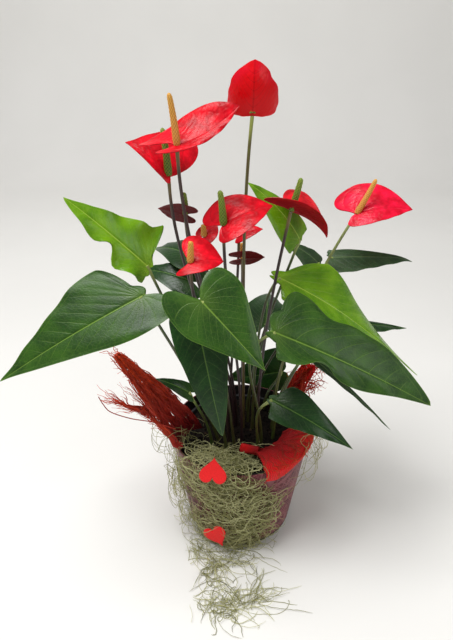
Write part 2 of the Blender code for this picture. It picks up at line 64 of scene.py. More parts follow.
POT_RIM_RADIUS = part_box("outer_pot")[1].x
POT_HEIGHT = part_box("outer_pot")[1].z
POT_BASE_RADIUS = 0.0525
POT_WALL = 0.0018
SOIL_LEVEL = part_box("potting_soil")[1].z
SOIL_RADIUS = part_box("potting_soil")[1].x
NURSERY_RIM_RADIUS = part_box("nursery_pot")[1].x
NURSERY_RIM_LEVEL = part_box("nursery_pot")[1].z
NURSERY_BASE_RADIUS = 0.044

# Half outlines from the notch just behind the knee round one lobe to the tip: how far along
# the midrib (1 at the tip) and how far out from it (1 at the widest place).
OUTLINES = {
    "leaf": [(-0.03, 0.0), (-0.14, 0.20), (-0.22, 0.44), (-0.23, 0.68), (-0.15, 0.90), (0.03, 1.0),
             (0.20, 0.95), (0.38, 0.75), (0.56, 0.54), (0.74, 0.32), (0.89, 0.12), (1.0, 0.0)],
    "spathe": [(-0.03, 0.0), (-0.13, 0.22), (-0.20, 0.46), (-0.20, 0.70), (-0.12, 0.90), (0.06, 1.0),
               (0.30, 0.97), (0.55, 0.78), (0.76, 0.48), (0.90, 0.19), (1.0, 0.0)],
    "young": [(-0.03, 0.0), (-0.06, 0.25), (-0.09, 0.48), (-0.08, 0.72), (-0.02, 0.90), (0.12, 1.0),
              (0.32, 0.93), (0.54, 0.70), (0.76, 0.40), (0.91, 0.14), (1.0, 0.0)],
}

# --- The leaves and flowers ---


def blade(knee, tip, half, face, outline="leaf", **changes):
    """One blade: knee and tip of its midrib, half widths left and right of it, and the
    direction that its upper side faces. Pairs in the changes are also left and right.
    arch and skew bow the midrib, twist turns the blade along it in degrees, fold and cup bend
    the halves in degrees, wave ripples the edge, curl bends the last quarter, lobe scales the
    lobes behind the knee, rake sweeps the edge forward, full below 1 widens towards the tip.
    scallops lists bulges and notches of the edge: the half, place and spread along the midrib,
    and how much it widens."""
    choices = dict(arch=0.10, skew=0.0, twist=0.0, fold=(0, 0), cup=(0, 0), curl=0.0,
                   wave=0.0, waves=2.5, phase=0.0, lobe=(1, 1), rake=(0, 0), full=(1, 1),
                   scallops=())
    choices.update(changes)
    knee, tip, face = np.array(knee, float), np.array(tip, float), np.array(face, float)
    length = np.linalg.norm(tip - knee)
    heading = (tip - knee) / length
    up = face - heading * face.dot(heading)
    return dict(knee=knee, length=length, heading=heading, up=up / np.linalg.norm(up), half=half,
                outline=outline, **choices)


def stem(root, leaves=(0, 0, 1), arrives=(0, 0, 1), rise=0.40, reach=0.30):
    """The stem under a blade: its place on the soil, the directions in which it leaves the soil
    and arrives at the knee, and how far it keeps to them as shares of the straight distance."""
    return dict(root=root, leaves=np.array(leaves, float), arrives=np.array(arrives, float),
                rise=rise, reach=reach)


LEAVES = {
    "leaf_upper_left": (
        blade((-0.077, -0.020, 0.293), (-0.135, -0.020, 0.349), (0.015, 0.026), (0.1, -0.6, 0.8),
              arch=0.03, fold=(0, 5), twist=-5, lobe=(0.3, 0.1), rake=(0, 0.1), full=(0.6, 1),
              wave=0.004, waves=2.85, phase=0.33,
              scallops=(("left", 0.42, 0.07, -0.72), ("left", 0.26, 0.10, 0.35),
                        ("left", 0.62, 0.12, 0.25), ("right", 0.06, 0.09, 0.50))),
        stem((-0.020, 0.006), (-0.3, 0, 1), (-0.4, 0, 1))),
    "leaf_left_large": (
        blade((-0.079, -0.050, 0.281), (-0.192, -0.070, 0.216), (0.028, 0.037), (0, -0.7, 0.75),
              arch=0.04, fold=(4, 0), lobe=(0.7, 0.2), rake=(0, 0.17)),
        stem((-0.022, -0.008), (-0.3, 0, 1), (-0.5, 0, 1))),
    "leaf_centre": (
        blade((-0.031, -0.080, 0.293), (0.014, -0.100, 0.248), (0.030, 0.026), (0.1, -0.8, 0.6),
              arch=0.02, lobe=(0.8, 1.4)),
        stem((-0.006, -0.018), (-0.1, 0, 1), (-0.1, -1.0, 0.7), reach=0.45)),
    "leaf_front_hanging": (
        blade((-0.036, -0.066, 0.271), (-0.017, -0.090, 0.178), (0.020, 0.021), (0, -0.9, 0.4),
              arch=0.06, lobe=(0.0, 0.3), full=(0.75, 0.75)),
        stem((-0.014, -0.022), (-0.1, 0, 1), (-0.1, -0.3, 1))),
    "leaf_low_left": (
        blade((-0.047, -0.030, 0.175), (-0.076, -0.030, 0.190), (0.007, 0.008), (0, -0.5, 0.8),
              full=(0.8, 0.8)),
        stem((-0.028, -0.014), (-0.1, 0, 1), (-0.3, -0.2, 1))),
    "leaf_right_large": (
        blade((0.025, -0.050, 0.249), (0.160, -0.050, 0.176), (0.041, 0.020), (0, -0.6, 0.8),
              arch=0.04, fold=(10, -10), full=(0.65, 0.85), wave=0.006, waves=1.25, phase=-2.1,
              lobe=(0.2, 0), rake=(0.05, 0.05),
              scallops=(("left", 0.27, 0.11, -0.30), ("left", 0.46, 0.12, -0.22),
                        ("right", 0.29, 0.09, -0.60),
                        ("right", 0.62, 0.17, 0.55))),
        stem((0.020, -0.012), (0, 0, 1), (1, -0.2, 0.5))),
    "leaf_upper_right": (
        blade((0.032, 0.000, 0.272), (0.164, 0.000, 0.172), (0.038, 0.018), (0.1, -0.6, 0.7),
              arch=0.08, skew=0.3, twist=-58, lobe=(0.2, 0), rake=(0.2, 0.05), full=(1.3, 1)),
        stem((0.012, 0.008), (0, 0, 1), (1, 0, 0.6), reach=0.13)),
    "leaf_young": (
        blade((0.047, 0.010, 0.303), (0.002, 0.010, 0.352), (0.018, 0.013), (0.2, -0.7, 0.8),
              outline="young", lobe=(0, 0)),
        stem((0.008, 0.020), (0, 0, 1), (0.3, 0, 1))),
    "leaf_right_curled": (
        blade((0.083, 0.044, 0.272), (0.155, 0.039, 0.273), (0.009, 0.018), (0, -0.4, 0.8),
              arch=0.02, lobe=(0.3, 0.3), full=(0.8, 0.8), curl=-0.05),
        stem((0.032, 0.032), (0.1, 0, 1), (0.5, 0, 1))),
    "leaf_behind_right": (
        blade((0.071, 0.050, 0.264), (0.036, 0.050, 0.286), (0.016, 0.008), (0, -0.6, 0.8),
              lobe=(0.4, 0.4)),
        stem((0.016, 0.044), (0, 0, 1), (-0.2, 0, 1))),
    "leaf_right_narrow": (
        blade((0.089, 0.030, 0.211), (0.157, 0.030, 0.205), (0.009, 0.020), (0, -0.15, 1),
              arch=0.02),
        stem((0.032, 0.010), (0, 0, 1), (0.8, 0, 1))),
    "leaf_back_centre": (
        blade((0.024, 0.040, 0.204), (0.030, 0.096, 0.208), (0.028, 0.024), (0, -0.5, 1)),
        stem((0.008, 0.036), (0, 0, 1), (0, 0, 1))),
    "leaf_low_right": (
        blade((0.025, -0.050, 0.182), (0.094, -0.070, 0.145), (0.019, 0.015), (0, -0.7, 0.8),
              lobe=(0.1, 0), rake=(0.12, 0.05)),
        stem((0.016, -0.024), (0, 0, 1), (1, -0.3, 0.8))),
    "leaf_right_edge_on": (
        blade((0.057, -0.010, 0.204), (0.141, -0.020, 0.123), (0.004, 0.004), (0.2, -0.6, 0.8),
              arch=0.03, lobe=(0.3, 0.3)),
        stem((0.032, -0.006), (0, 0, 1), (0.5, 0, 1))),
    "leaf_back_left": (
        blade((-0.044, 0.036, 0.276), (-0.084, 0.075, 0.266), (0.018, 0.020), (0, -0.4, 1)),
        stem((-0.020, 0.036), (0, 0, 1), (-0.9, -0.8, 1))),
    "leaf_back_left_low": (
        blade((-0.046, 0.028, 0.256), (-0.095, 0.055, 0.254), (0.016, 0.016), (0, -0.6, 0.8)),
        stem((-0.022, 0.024), (0, 0, 1), (-0.3, 0, 1))),
    "leaf_back_low": (
        blade((0.046, 0.073, 0.124), (-0.018, 0.080, 0.108), (0.014, 0.028), (0, -1, 0.3),
              arch=0.02, lobe=(0.5, 0.5), scallops=(("left", 0.35, 0.45, 0.75),)),
        stem((0.026, 0.040), (0, 0, 1), (0.3, 1, 0.1), rise=0.6, reach=0.4)),
}

# Each flower: the blade of its spathe, its stem, and the spadix's direction, length and colour.
FLOWERS = {
    "top": (
        blade((0.005, 0.000, 0.404), (0.006, 0.000, 0.440), (0.024, 0.023), (0, 1, 0), "spathe",
              arch=-0.1, cup=(60, 60), fold=(5, 5), lobe=(0.6, 0.6), full=(0.65, 0.65),
              scallops=(("left", 0.74, 0.12, -0.30), ("right", 0.80, 0.15, 0.20))),
        stem((0.003, 0.010), arrives=(0.1, 0.2, 1)), (0, 0.8, 1), 0.026, "green"),
    "upper_left": (
        blade((-0.048, -0.030, 0.389), (-0.005, -0.020, 0.413), (0.023, 0.008), (-0.3, -0.45, 1),
              "spathe", arch=-0.07, twist=40, lobe=(2.0, 1.5), full=(0.6, 1)),
        stem((-0.012, -0.002)), (-0.07, 0, 1), 0.034, "orange"),
    "upper_left_low": (
        blade((-0.057, -0.010, 0.362), (-0.089, 0.000, 0.384), (0.006, 0.042), (-0.2, -0.3, 1),
              "spathe", lobe=(0.5, 0.8)),
        stem((-0.018, 0.012)), (-0.05, 0.14, 1), 0.034, "green"),
    "left_dark": (
        blade((-0.047, 0.010, 0.325), (-0.069, 0.010, 0.330), (0.012, 0.012), (0, 1, 0.7),
              "spathe", arch=0, lobe=(2, 2)),
        stem((-0.006, 0.012)), (0, 0, 1), 0.018, "green"),
    "centre": (
        blade((-0.016, -0.030, 0.331), (0.021, -0.020, 0.342), (0.023, 0.017), (0, -0.5, 1),
              "spathe", lobe=(1.5, 0.9)),
        stem((0.001, -0.008)), (-0.05, 0, 1), 0.026, "green"),
    "behind_left": (
        blade((-0.032, 0.000, 0.310), (-0.021, 0.010, 0.315), (0.009, 0.010), (0, -0.3, 1),
              "spathe"),
        stem((-0.004, 0.014)), (0, 0, 1), 0.010, "orange"),
    "low_left": (
        blade((-0.040, -0.055, 0.312), (-0.016, -0.050, 0.310), (0.024, 0.011), (0, -0.5, 1),
              "spathe", lobe=(0.8, 2), full=(0.8, 0.8)),
        stem((-0.012, -0.014)), (0.1, 0, 1), 0.016, "orange"),
    "behind_right": (
        blade((-0.003, 0.034, 0.297), (0.018, 0.034, 0.303), (0.008, 0.008), (0, -0.5, 1),
              "spathe"),
        stem((-0.010, 0.034)), (0, 0, 1), 0.010, "orange"),
    "low_dark": (
        blade((0.000, 0.015, 0.284), (0.019, 0.015, 0.285), (0.014, 0.014), (0, 1, 0.9),
              "spathe", arch=0, lobe=(3, 3)),
        stem((0.002, 0.019)), (0, 0, 1), 0.014, "orange"),
    "right_folded": (
        blade((0.036, -0.010, 0.335), (0.066, -0.010, 0.313), (0.030, 0.014), (0.1, -0.3, 1),
              "spathe", arch=0.1, fold=(0, 70), lobe=(1, 2.3)),
        stem((0.016, -0.002), arrives=(0.2, 0.15, 1)), (0.3, 0, 1), 0.026, "green"),
    "far_right": (
        blade((0.097, 0.032, 0.318), (0.144, 0.032, 0.321), (0.030, 0.014), (0, -0.6, 1),
              "spathe", lobe=(1.6, 0.8)),
        stem((0.034, 0.020), arrives=(0.5, 0, 1)), (0.5, 0, 1), 0.032, "orange"),
}

# --- Blade surfaces ---


def unit(vectors):
    return vectors / np.linalg.norm(vectors, axis=-1, keepdims=True)


def catmull_rom(points, count):
    """count places spread evenly along a smooth curve through the points."""
    points = np.array(points, float)
    points = np.vstack([2 * points[0] - points[1], points, 2 * points[-1] - points[-2]])
    spans = len(points) - 3
    t = np.linspace(0, spans, count)
    k = np.minimum(t.astype(int), spans - 1)
    f = (t - k)[:, None]
    a, b, c, d = (points[k + i] for i in range(4))
    return 0.5 * (2 * b + (c - a) * f + (2 * a - 5 * b + 4 * c - d) * f**2
                  + (3 * b - a - 3 * c + d) * f**3)


def outline_of(kind, rays):
    """The whole outline as (along, across): round the left half to the tip, and back."""
    left = catmull_rom(OUTLINES[kind], rays)
    left[0, 1] = 0
    right = left[-2:0:-1] * (1, -1)
    return np.vstack([left, right])


def midrib(b, u):
    bow = b["arch"] * 4 * u * (1 - u) * (1 + b["skew"] * (1 - 2 * u))
    lift = bow + b["curl"] * np.clip((u - 0.75) / 0.25, 0, None) ** 2
    return b["knee"] + b["length"] * (u[:, None] * b["heading"] + lift[:, None] * b["up"])


def blade_points(b, along, across):
    """The places of a blade at arrays of outline coordinates, by the design's own rule."""
    left_half = across >= 0

    def choice(name):
        return np.where(left_half, b[name][0], b[name][1])

    reach = np.abs(across) ** choice("full")
    share = np.minimum(1, np.abs(across) / 0.3)
    u = np.where(along < 0, along * (1 - share + share * choice("lobe")), along)
    u = u + choice("rake") * reach * (1 - u)
    tangent = unit(midrib(b, u + 0.001) - midrib(b, u - 0.001))
    left = unit(np.cross(b["up"], tangent))
    normal = np.cross(tangent, left)
    turn = (radians(b["twist"]) * np.clip(u, -0.3, 1))[:, None]
    left, normal = (left * np.cos(turn) + normal * np.sin(turn),
                    normal * np.cos(turn) - left * np.sin(turn))
    fold = np.radians(choice("fold"))
    bend = np.maximum(np.radians(choice("cup")), 0.0001)
    width = choice("half")
    for side, place, spread, gain in b["scallops"]:
        there = left_half if side == "left" else ~left_half
        width = width * (1 + gain * np.exp(-((u - place) / spread) ** 2) * reach**1.5 * there)
    out = width * (np.sin(fold + bend * reach) - np.sin(fold)) / bend
    rise = width * (np.cos(fold) - np.cos(fold + bend * reach)) / bend
    ripple = np.sin(2 * pi * b["waves"] * u + b["phase"] + np.where(left_half, 0, 2.1))
    rise += b["wave"] * ripple * reach**2
    sign = np.where(left_half, 1, -1)
    return midrib(b, u) + left * (sign * out)[:, None] + normal * rise[:, None]


def vein_count(b, along, across, veins):
    """A number that is whole on each vein: side veins leave the midrib ahead of the knee, and
    basal veins fan out from the knee into the lobes."""
    slim = max(b["half"]) / b["length"]
    out = np.abs(across) * slim
    ahead = along - veins["sweep"] * out**2 / slim
    leaving = veins["lean"]
    side = (ahead - leaving * out) / veins["spacing"]
    first = np.arctan2(1, leaving)
    basal = (first - np.arctan2(out, ahead)) / radians(veins["fan"])
    return np.where(ahead > leaving * out, side, basal)


VEINS = {
    "leaf": dict(spacing=0.11, lean=0.9, sweep=0.55, fan=24, quilt=0.00020, edge_wave=0.0006),
    "young": dict(spacing=0.12, lean=0.9, sweep=0.4, fan=26, quilt=0.00020, edge_wave=0.0004),
    "spathe": dict(spacing=0.15, lean=1.6, sweep=0.8, fan=19, quilt=0.00040, edge_wave=0.0004),
}
FULL_RELIEF_LENGTH = 0.06  # a shorter blade has less quilting in proportion


def normals_of(points, faces):
    """Area-weighted point normals of triangles or of quads."""
    corners = [points[faces[:, k]] for k in (0, 1, 2)]
    flat = np.cross(corners[1] - corners[0], corners[2] - corners[0])
    total = np.zeros_like(points)
    for k in range(faces.shape[1]):
        np.add.at(total, faces[:, k], flat)
    return unit(total + 1e-12)


def disc_faces(count, rings):
    """The faces of rings of count points round a middle point: quads, the triangles at the
    middle, and the point numbers of the rim and one place on."""
    inner = 1 + np.arange(rings)[:, None] * count + np.arange(count)
    after = np.roll(inner, -1, axis=1)
    quads = np.stack([inner[:-1], after[:-1], after[1:], inner[1:]], -1).reshape(-1, 4)
    middle = np.stack([np.zeros(count, int), after[0], inner[0]], -1)
    return quads, middle, inner[-1], after[-1]


def plate_faces(quads, middle, rim, rim_after):
    """A closed plate's faces: one disc, the same disc turned over, and the rim between them."""
    total = rim.max() + 1
    faces = quads.tolist() + middle.tolist()
    faces += (quads[:, ::-1] + total).tolist() + (middle[:, ::-1] + total).tolist()
    return faces + np.stack([rim, rim_after, rim_after + total, rim + total], -1).tolist()


def blade_shape(b, thickness, cell=0.0018):
    """A closed blade, as points, faces and marks for its material: rings round the knee, with
    quilting between the veins, a ridge under the midrib and a thin edge."""
    veins = VEINS[b["outline"]]
    rays = int(np.clip(b["length"] / cell, 26, 76))
    rings = int(np.clip(b["length"] / cell * 0.75, 14, 46))
    outline = outline_of(b["outline"], rays)
    count = len(outline)
    shares = np.linspace(0, 1, rings + 1)[1:] ** 0.9
    flat = np.vstack([[[0, 0]]] + [share * outline for share in shares])
    along, across = flat.T
    surface = blade_points(b, along, across)
    disc = disc_faces(count, rings)
    quads, middle = disc[:2]
    fan = np.hstack([middle, middle[:, :1]])
    normal = normals_of(surface, np.vstack([quads, fan]))

    edge = np.concatenate([[0], np.repeat(shares, count)])
    side = (across < 0).astype(int)
    off_midrib = np.abs(across) ** np.array(b["full"])[side] * np.array(b["half"])[side]
    number = vein_count(b, along, across, veins)
    relief = min(1.0, b["length"] / FULL_RELIEF_LENGTH)
    inside = np.clip((1 - edge) * 6, 0, 1) * np.clip(off_midrib / 0.004, 0, 1)
    quilt = relief * veins["quilt"] * np.sqrt(np.abs(np.sin(pi * number))) * inside
    ripple = np.sin(along * 15 + across * 9 + b["length"] * 900)
    margin = relief * veins["edge_wave"] * ripple * edge**6
    groove = -0.0004 * relief * np.exp(-(off_midrib / 0.0010) ** 2) * (along > -0.02)
    ridge = 0.0007 * relief * np.exp(-(off_midrib / 0.0009) ** 2) * np.clip(1.1 - along, 0.2, 1)
    upper = surface + normal * (thickness / 2 * (1 - 0.5 * edge**8) + quilt + margin + groove)[:, None]
    lower = upper - normal * (thickness * (1 - 0.4 * edge**8) + ridge)[:, None]

    total = len(surface)
    place = np.stack([off_midrib * (1 - 2 * side), along * b["length"], 0 * along], -1)
    marks = dict(
        flat=np.tile(place, (2, 1)),
        along=np.tile(along, 2),
        vein=np.tile(number, 2),
        edge=np.tile(edge, 2),
        upper=np.concatenate([np.ones(total), np.zeros(total)]),
    )
    return np.vstack([upper, lower]), plate_faces(*disc), marks


# --- Round shapes ---


def ring_quads(rows, sides):
    """The faces between rows of rings, and the point numbers of each ring and one place on."""
    index = np.arange(rows * sides).reshape(rows, sides)
    turned = np.roll(index, -1, axis=1)
    quads = np.stack([index[:-1], turned[:-1], turned[1:], index[1:]], -1)
    return quads.reshape(-1, 4).tolist(), index, turned


def bezier(points, count):
    a, b, c, d = (np.array(p, float) for p in points)
    t = np.linspace(0, 1, count)[:, None]
    return (1 - t)**3 * a + 3 * (1 - t)**2 * t * b + 3 * (1 - t) * t**2 * c + t**3 * d


def tube_shape(path, radii, sides, **marks):
    """A closed tube along a path. A mark is one value, or one for each point of the path."""
    path = np.array(path, float)
    count = len(path)
    heading = unit(np.gradient(path, axis=0) + 1e-12)
    side = np.cross(heading[0], (0.31, 0.53, 0.79))
    angle = np.linspace(0, 2 * pi, sides, endpoint=False)[:, None]
    points = []
    for place, way, radius in zip(path, heading, np.broadcast_to(radii, count)):
        side = unit(side - way * side.dot(way))
        other = np.cross(way, side)
        points.append(place + radius * (np.cos(angle) * side + np.sin(angle) * other))
    faces, rows, _ = ring_quads(count, sides)
    faces += [rows[0][::-1].tolist(), rows[-1].tolist()]
    spread = {name: np.repeat(np.broadcast_to(value, count), sides)
              for name, value in marks.items()}
    return np.vstack(points), faces, spread


def turned_shape(profile, steps):
    """A closed turned solid, from a profile that starts and ends on the axis."""
    profile = np.array(profile, float)
    angle = np.linspace(0, 2 * pi, steps, endpoint=False)
    ring = profile[1:-1]
    points = np.stack([np.outer(ring[:, 0], np.cos(angle)), np.outer(ring[:, 0], np.sin(angle)),
                       np.repeat(ring[:, 1:], steps, 1)], -1).reshape(-1, 3)
    points = np.vstack([points, [0, 0, profile[0, 1]], [0, 0, profile[-1, 1]]])
    faces, rows, turned = ring_quads(len(ring), steps)
    first, last = rows.size, rows.size + 1
    faces += [(first, turned[0, k], rows[0, k]) for k in range(steps)]
    faces += [(last, rows[-1, k], turned[-1, k]) for k in range(steps)]
    return points, faces, {}


def grid_shape(point, columns, rows, thickness, holes=None):
    """A closed thin sheet: point(s, t) takes two arrays of shares and gives places. holes(s, t)
    tells where the sheet has worn through."""
    s, t = (a.ravel() for a in np.meshgrid(np.linspace(0, 1, columns + 1), np.linspace(0, 1, rows + 1)))
    surface = point(s, t)
    index = np.arange(len(s)).reshape(rows + 1, columns + 1)
    quads = np.stack([index[:-1, :-1], index[:-1, 1:], index[1:, 1:], index[1:, :-1]], -1)
    quads = quads.reshape(-1, 4)
    normal = normals_of(surface, quads)
    if holes:
        quads = quads[[not holes(*place) for place in zip(s[quads].mean(1), t[quads].mean(1))]]
    total = len(surface)
    edges = {(a, b) for quad in quads.tolist() for a, b in zip(quad, quad[1:] + quad[:1])}
    faces = quads.tolist() + (quads[:, ::-1] + total).tolist()
    faces += [(b, a, a + total, b + total) for a, b in sorted(edges) if (b, a) not in edges]
    points = np.vstack([surface + normal * thickness / 2, surface - normal * thickness / 2])
    marks = dict(flat=np.tile(np.stack([s, t, 0 * s], -1), (2, 1)))
    return points, faces, marks


class Piece:
    """Shapes gathered into one object, with their marks stored as point attributes."""

    def __init__(self, name):
        self.name = name
        self.shapes = []
        self.count = 0

    def put(self, shape, which=0):
        """Adds a shape, whose faces wear the piece's material number which."""
        points, faces, marks = shape
        faces = [[i + self.count for i in face] for face in faces]
        self.shapes.append((points, faces, marks, which))
        self.count += len(points)

    def make(self, materials, replaced, slot):
        """The finished object, riding on the one body and standing for CAD nodes."""
        mesh = bpy.data.meshes.new(self.name)
        points = np.vstack([shape[0] for shape in self.shapes])
        faces = [face for shape in self.shapes for face in shape[1]]
        mesh.from_pydata(points.tolist(), [], faces)
        for look in materials:
            mesh.materials.append(look)
        worn = np.concatenate([np.full(len(shape[1]), shape[3]) for shape in self.shapes])
        mesh.polygons.foreach_set("material_index", worn)
        for name in sorted({name for shape in self.shapes for name in shape[2]}):
            self.store(mesh, name)
        mesh.shade_smooth()
        mesh.set_sharp_from_angle(angle=radians(50))
        obj = bpy.data.objects.new(self.name, mesh)
        bpy.context.scene.collection.objects.link(obj)
        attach(obj, "root")
        if replaced:
            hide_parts(*replaced)
        return obj

    def store(self, mesh, name):
        given = [shape[2].get(name) for shape in self.shapes]
        wide = 3 if any(np.ndim(values) == 2 for values in given if values is not None) else 1
        kind = "FLOAT_VECTOR" if wide == 3 else "FLOAT"
        attribute = mesh.attributes.new(name, kind, "POINT")
        filled = [np.zeros((len(shape[0]), wide)) if values is None
                  else np.reshape(values, (len(shape[0]), wide))
                  for shape, values in zip(self.shapes, given)]
        attribute.data.foreach_set("vector" if wide == 3 else "value", np.vstack(filled).ravel())


# --- Materials ---


class Wire:
    """A shader output that takes part in arithmetic."""

    def __init__(self, look, socket):
        self.look = look
        self.socket = socket

    def __add__(self, other):
        return self.look.math("ADD", self, other)

    def __sub__(self, other):
        return self.look.math("SUBTRACT", self, other)

    def __rsub__(self, other):
        return self.look.math("SUBTRACT", other, self)

    def __mul__(self, other):
        return self.look.math("MULTIPLY", self, other)


class Look:
    """A material under construction. Its methods add shader nodes and return their output."""

    def __init__(self, name):
        self.material = bpy.data.materials.new(name)
        self.material.use_nodes = True
        self.tree = self.material.node_tree
        self.shader = self.tree.nodes["Principled BSDF"]

    def give(self, socket, value):
        if isinstance(value, Wire):
            self.tree.links.new(value.socket, socket)
        else:
            socket.default_value = value

    def node(self, kind, inputs, output=0, **settings):
        made = self.tree.nodes.new("ShaderNode" + kind)
        for name, value in settings.items():
            setattr(made, name, value)
        for key, value in inputs.items():
            self.give(made.inputs[key], value)
        return Wire(self, made.outputs[output])

    def math(self, operation, *values):
        return self.node("Math", dict(enumerate(values)), operation=operation)

    def mark(self, name, output="Fac"):
        return self.node("Attribute", {}, output, attribute_name=name)

    def flat(self):
        """The place on a sheet or blade laid flat, which its shape stores."""
        return self.mark("flat", "Vector")

    def place(self):
        return self.node("TexCoord", {}, "Object")

    def part(self, vector, axis):
        return self.node("SeparateXYZ", {0: vector}, axis)

    def noise(self, at, scale, detail=2.0, roughness=0.5):
        inputs = {"Vector": at, "Scale": scale, "Detail": detail, "Roughness": roughness}
        return self.node("TexNoise", inputs)

    def cells(self, at, scale, feature="DISTANCE_TO_EDGE"):
        return self.node("TexVoronoi", {"Vector": at, "Scale": scale}, "Distance", feature=feature)

    def stretched(self, at, angle, scale):
        """The coordinates turned about Z, then scaled."""
        turned = self.node("Mapping", {"Vector": at, "Rotation": (0, 0, radians(angle))})
        return self.node("Mapping", {"Vector": turned, "Scale": scale})

    def step(self, value, low, high):
        """0 below low, 1 above high and a smooth step between them."""
        inputs = {"Value": value, "From Min": low, "From Max": high}
        return self.node("MapRange", inputs, interpolation_type="SMOOTHSTEP")

    def mix(self, share, first, second):
        first, second = (c if isinstance(c, Wire) else (*c, 1) for c in (first, second))
        return self.node("Mix", {0: share, 6: first, 7: second}, 2, data_type="RGBA")

    def bump(self, height, distance, strength=1.0):
        return self.node("Bump", {"Height": height, "Distance": distance, "Strength": strength})

    def wear(self, colour, roughness, normal=None, **constants):
        """Finishes the material. The constants are plain values of the shader's own sockets."""
        self.give(self.shader.inputs["Base Color"], colour)
        self.give(self.shader.inputs["Roughness"], roughness)
        if normal:
            self.give(self.shader.inputs["Normal"], normal)
        for name, value in constants.items():
            self.shader.inputs[name.replace("_", " ")].default_value = value
        return self.material


def leaf_look(name, deep, light, vein, under, roughness):
    """Leaf: mottled green, a pale midrib and side veins, a fine net, a duller underside."""
    look = Look(name)
    flat = look.flat()
    edge = look.mark("edge")
    upper = look.mark("upper")
    mottle = look.noise(flat, 38, 4)
    across = look.math("ABSOLUTE", look.part(flat, 0))
    narrowing = look.math("MAXIMUM", 1.25 - look.mark("along"), 0.3)
    midrib = 1 - look.step(look.math("DIVIDE", across, narrowing), 0.00022, 0.00075)
    knee = 1 - look.step(look.node("VectorMath", {0: flat}, 1, operation="LENGTH"), 0.001, 0.017)
    beside = look.math("PINGPONG", look.mark("vein"), 0.5)
    inner = 1 - look.step(edge, 0.72, 0.97)
    line = (1 - look.step(beside, 0.004, 0.040)) * inner
    collective = 1 - look.step(look.math("ABSOLUTE", edge - 0.93), 0.003, 0.012)
    net = 1 - look.step(look.cells(flat, 330), 0.0, 0.10)
    green = look.mix(look.step(mottle, 0.35, 0.65), deep, light)
    green = look.mix(net * 0.08, green, vein)
    green = look.mix(line * (knee * 0.35 + 0.26) + collective * 0.10, green, vein)
    green = look.mix(midrib * 0.75, green, vein)
    green = look.mix(knee * 0.20, green, vein)
    green = look.mix(look.step(edge, 0.980, 1.0) * 0.45, green, vein)
    colour = look.mix(upper, look.mix(midrib * 0.5 + line * 0.3, under, vein), green)
    height = line * -0.35 + midrib * -0.4 + net * -0.14 + look.noise(flat, 700, 2) * 0.22
    shine = look.noise(flat, 55, 2) * 0.16 + roughness
    return look.wear(colour, shine + (1 - upper) * 0.2, look.bump(height, 0.0005, 0.5),
                     Specular_IOR_Level=0.26, Coat_Weight=0.05, Coat_Roughness=0.25,
                     Subsurface_Weight=0.06, Subsurface_Radius=(0.002, 0.004, 0.001),
                     Subsurface_Scale=0.5)


def spathe_look(name, deep, light, under):
    """Waxy spathe: red, puckered between its veins, another colour underneath, which on most spathes is
    darkened as painted shade.
    """
    look = Look(name)
    flat = look.flat()
    edge = look.mark("edge")
    upper = look.mark("upper")
    beside = look.math("PINGPONG", look.mark("vein"), 0.5)
    line = (1 - look.step(beside, 0.01, 0.09)) * (1 - look.step(edge, 0.80, 0.97))
    across = look.math("ABSOLUTE", look.part(flat, 0))
    midrib = 1 - look.step(across, 0.0002, 0.0009)
    pucker = look.step(look.cells(look.stretched(flat, 20, (1, 0.7, 1)), 290), 0.0, 0.35)
    patch = look.step(look.noise(flat, 90, 3), 0.32, 0.68)
    red = look.mix(patch, deep, light)
    red = look.mix(line * 0.35 + midrib * 0.3, red, deep)
    red = look.mix((1 - pucker) * 0.16, red, deep)
    # The back's colour, darker than the top as painted shade on most spathes, also tints the rim and
    # fills the underside.
    red = look.mix(look.step(edge, 0.965, 1.0) * 0.5, red, under)
    back = look.mix(line * 0.4 + midrib * 0.4, under, deep)
    back = look.mix(look.step(edge, 0.55, 0.95) * patch * 0.35, back, light)
    colour = look.mix(upper, back, red)
    height = pucker * 0.6 + line * -0.4 + midrib * -0.4 + look.noise(flat, 900, 2) * 0.12
    return look.wear(colour, look.noise(flat, 120, 2) * 0.14 + 0.24, look.bump(height, 0.0005, 0.36),
                     Specular_IOR_Level=0.15, Coat_Weight=0.05, Coat_Roughness=0.12,
                     Subsurface_Weight=0.10, Subsurface_Radius=(0.004, 0.0008, 0.0008),
                     Subsurface_Scale=0.5)


def stem_look(name, main, knee, streak_and_painted_shade):
    """Smooth stem: a paler swollen knee, long streaks, and a darker colour towards the soil that is
    painted shade.
    """
    look = Look(name)
    away = look.mark("along")
    place = look.place()
    streak = look.noise(look.stretched(place, 0, (1, 1, 0.08)), 700, 3)
    base = look.mix(look.step(streak, 0.35, 0.7), main, streak_and_painted_shade)
    # Painted shade: the streak colour spreads over the stem far from the knee, towards the soil.
    base = look.mix(look.step(away, 0.07, 0.17) * 0.6, base, streak_and_painted_shade)
    colour = look.mix(look.step(away, 0.004, 0.022), knee, base)
    return look.wear(colour, streak * 0.15 + 0.32, look.bump(streak, 0.0002, 0.35),
                     Coat_Weight=0.08, Coat_Roughness=0.3)


def spadix_look(name, foot, tip, painted_gap_shade):
    """Spadix: colour changing from foot to tip, and each bump lighter than the gaps round it, whose
    darker colour is painted shade.
    """
    look = Look(name)
    along = look.mark("along")
    bump = look.mark("bump")
    place = look.place()
    grain = look.noise(place, 1800, 2)
    body = look.mix(look.step(along, 0.15, 0.95), foot, tip)
    # Painted shade: the gaps between the bumps take the darker colour.
    colour = look.mix(look.step(bump + grain * 0.25, 0.12, 0.55), painted_gap_shade, body)
    return look.wear(colour, grain * 0.2 + 0.42, look.bump(grain, 0.0002, 0.4), Subsurface_Weight=0.05)


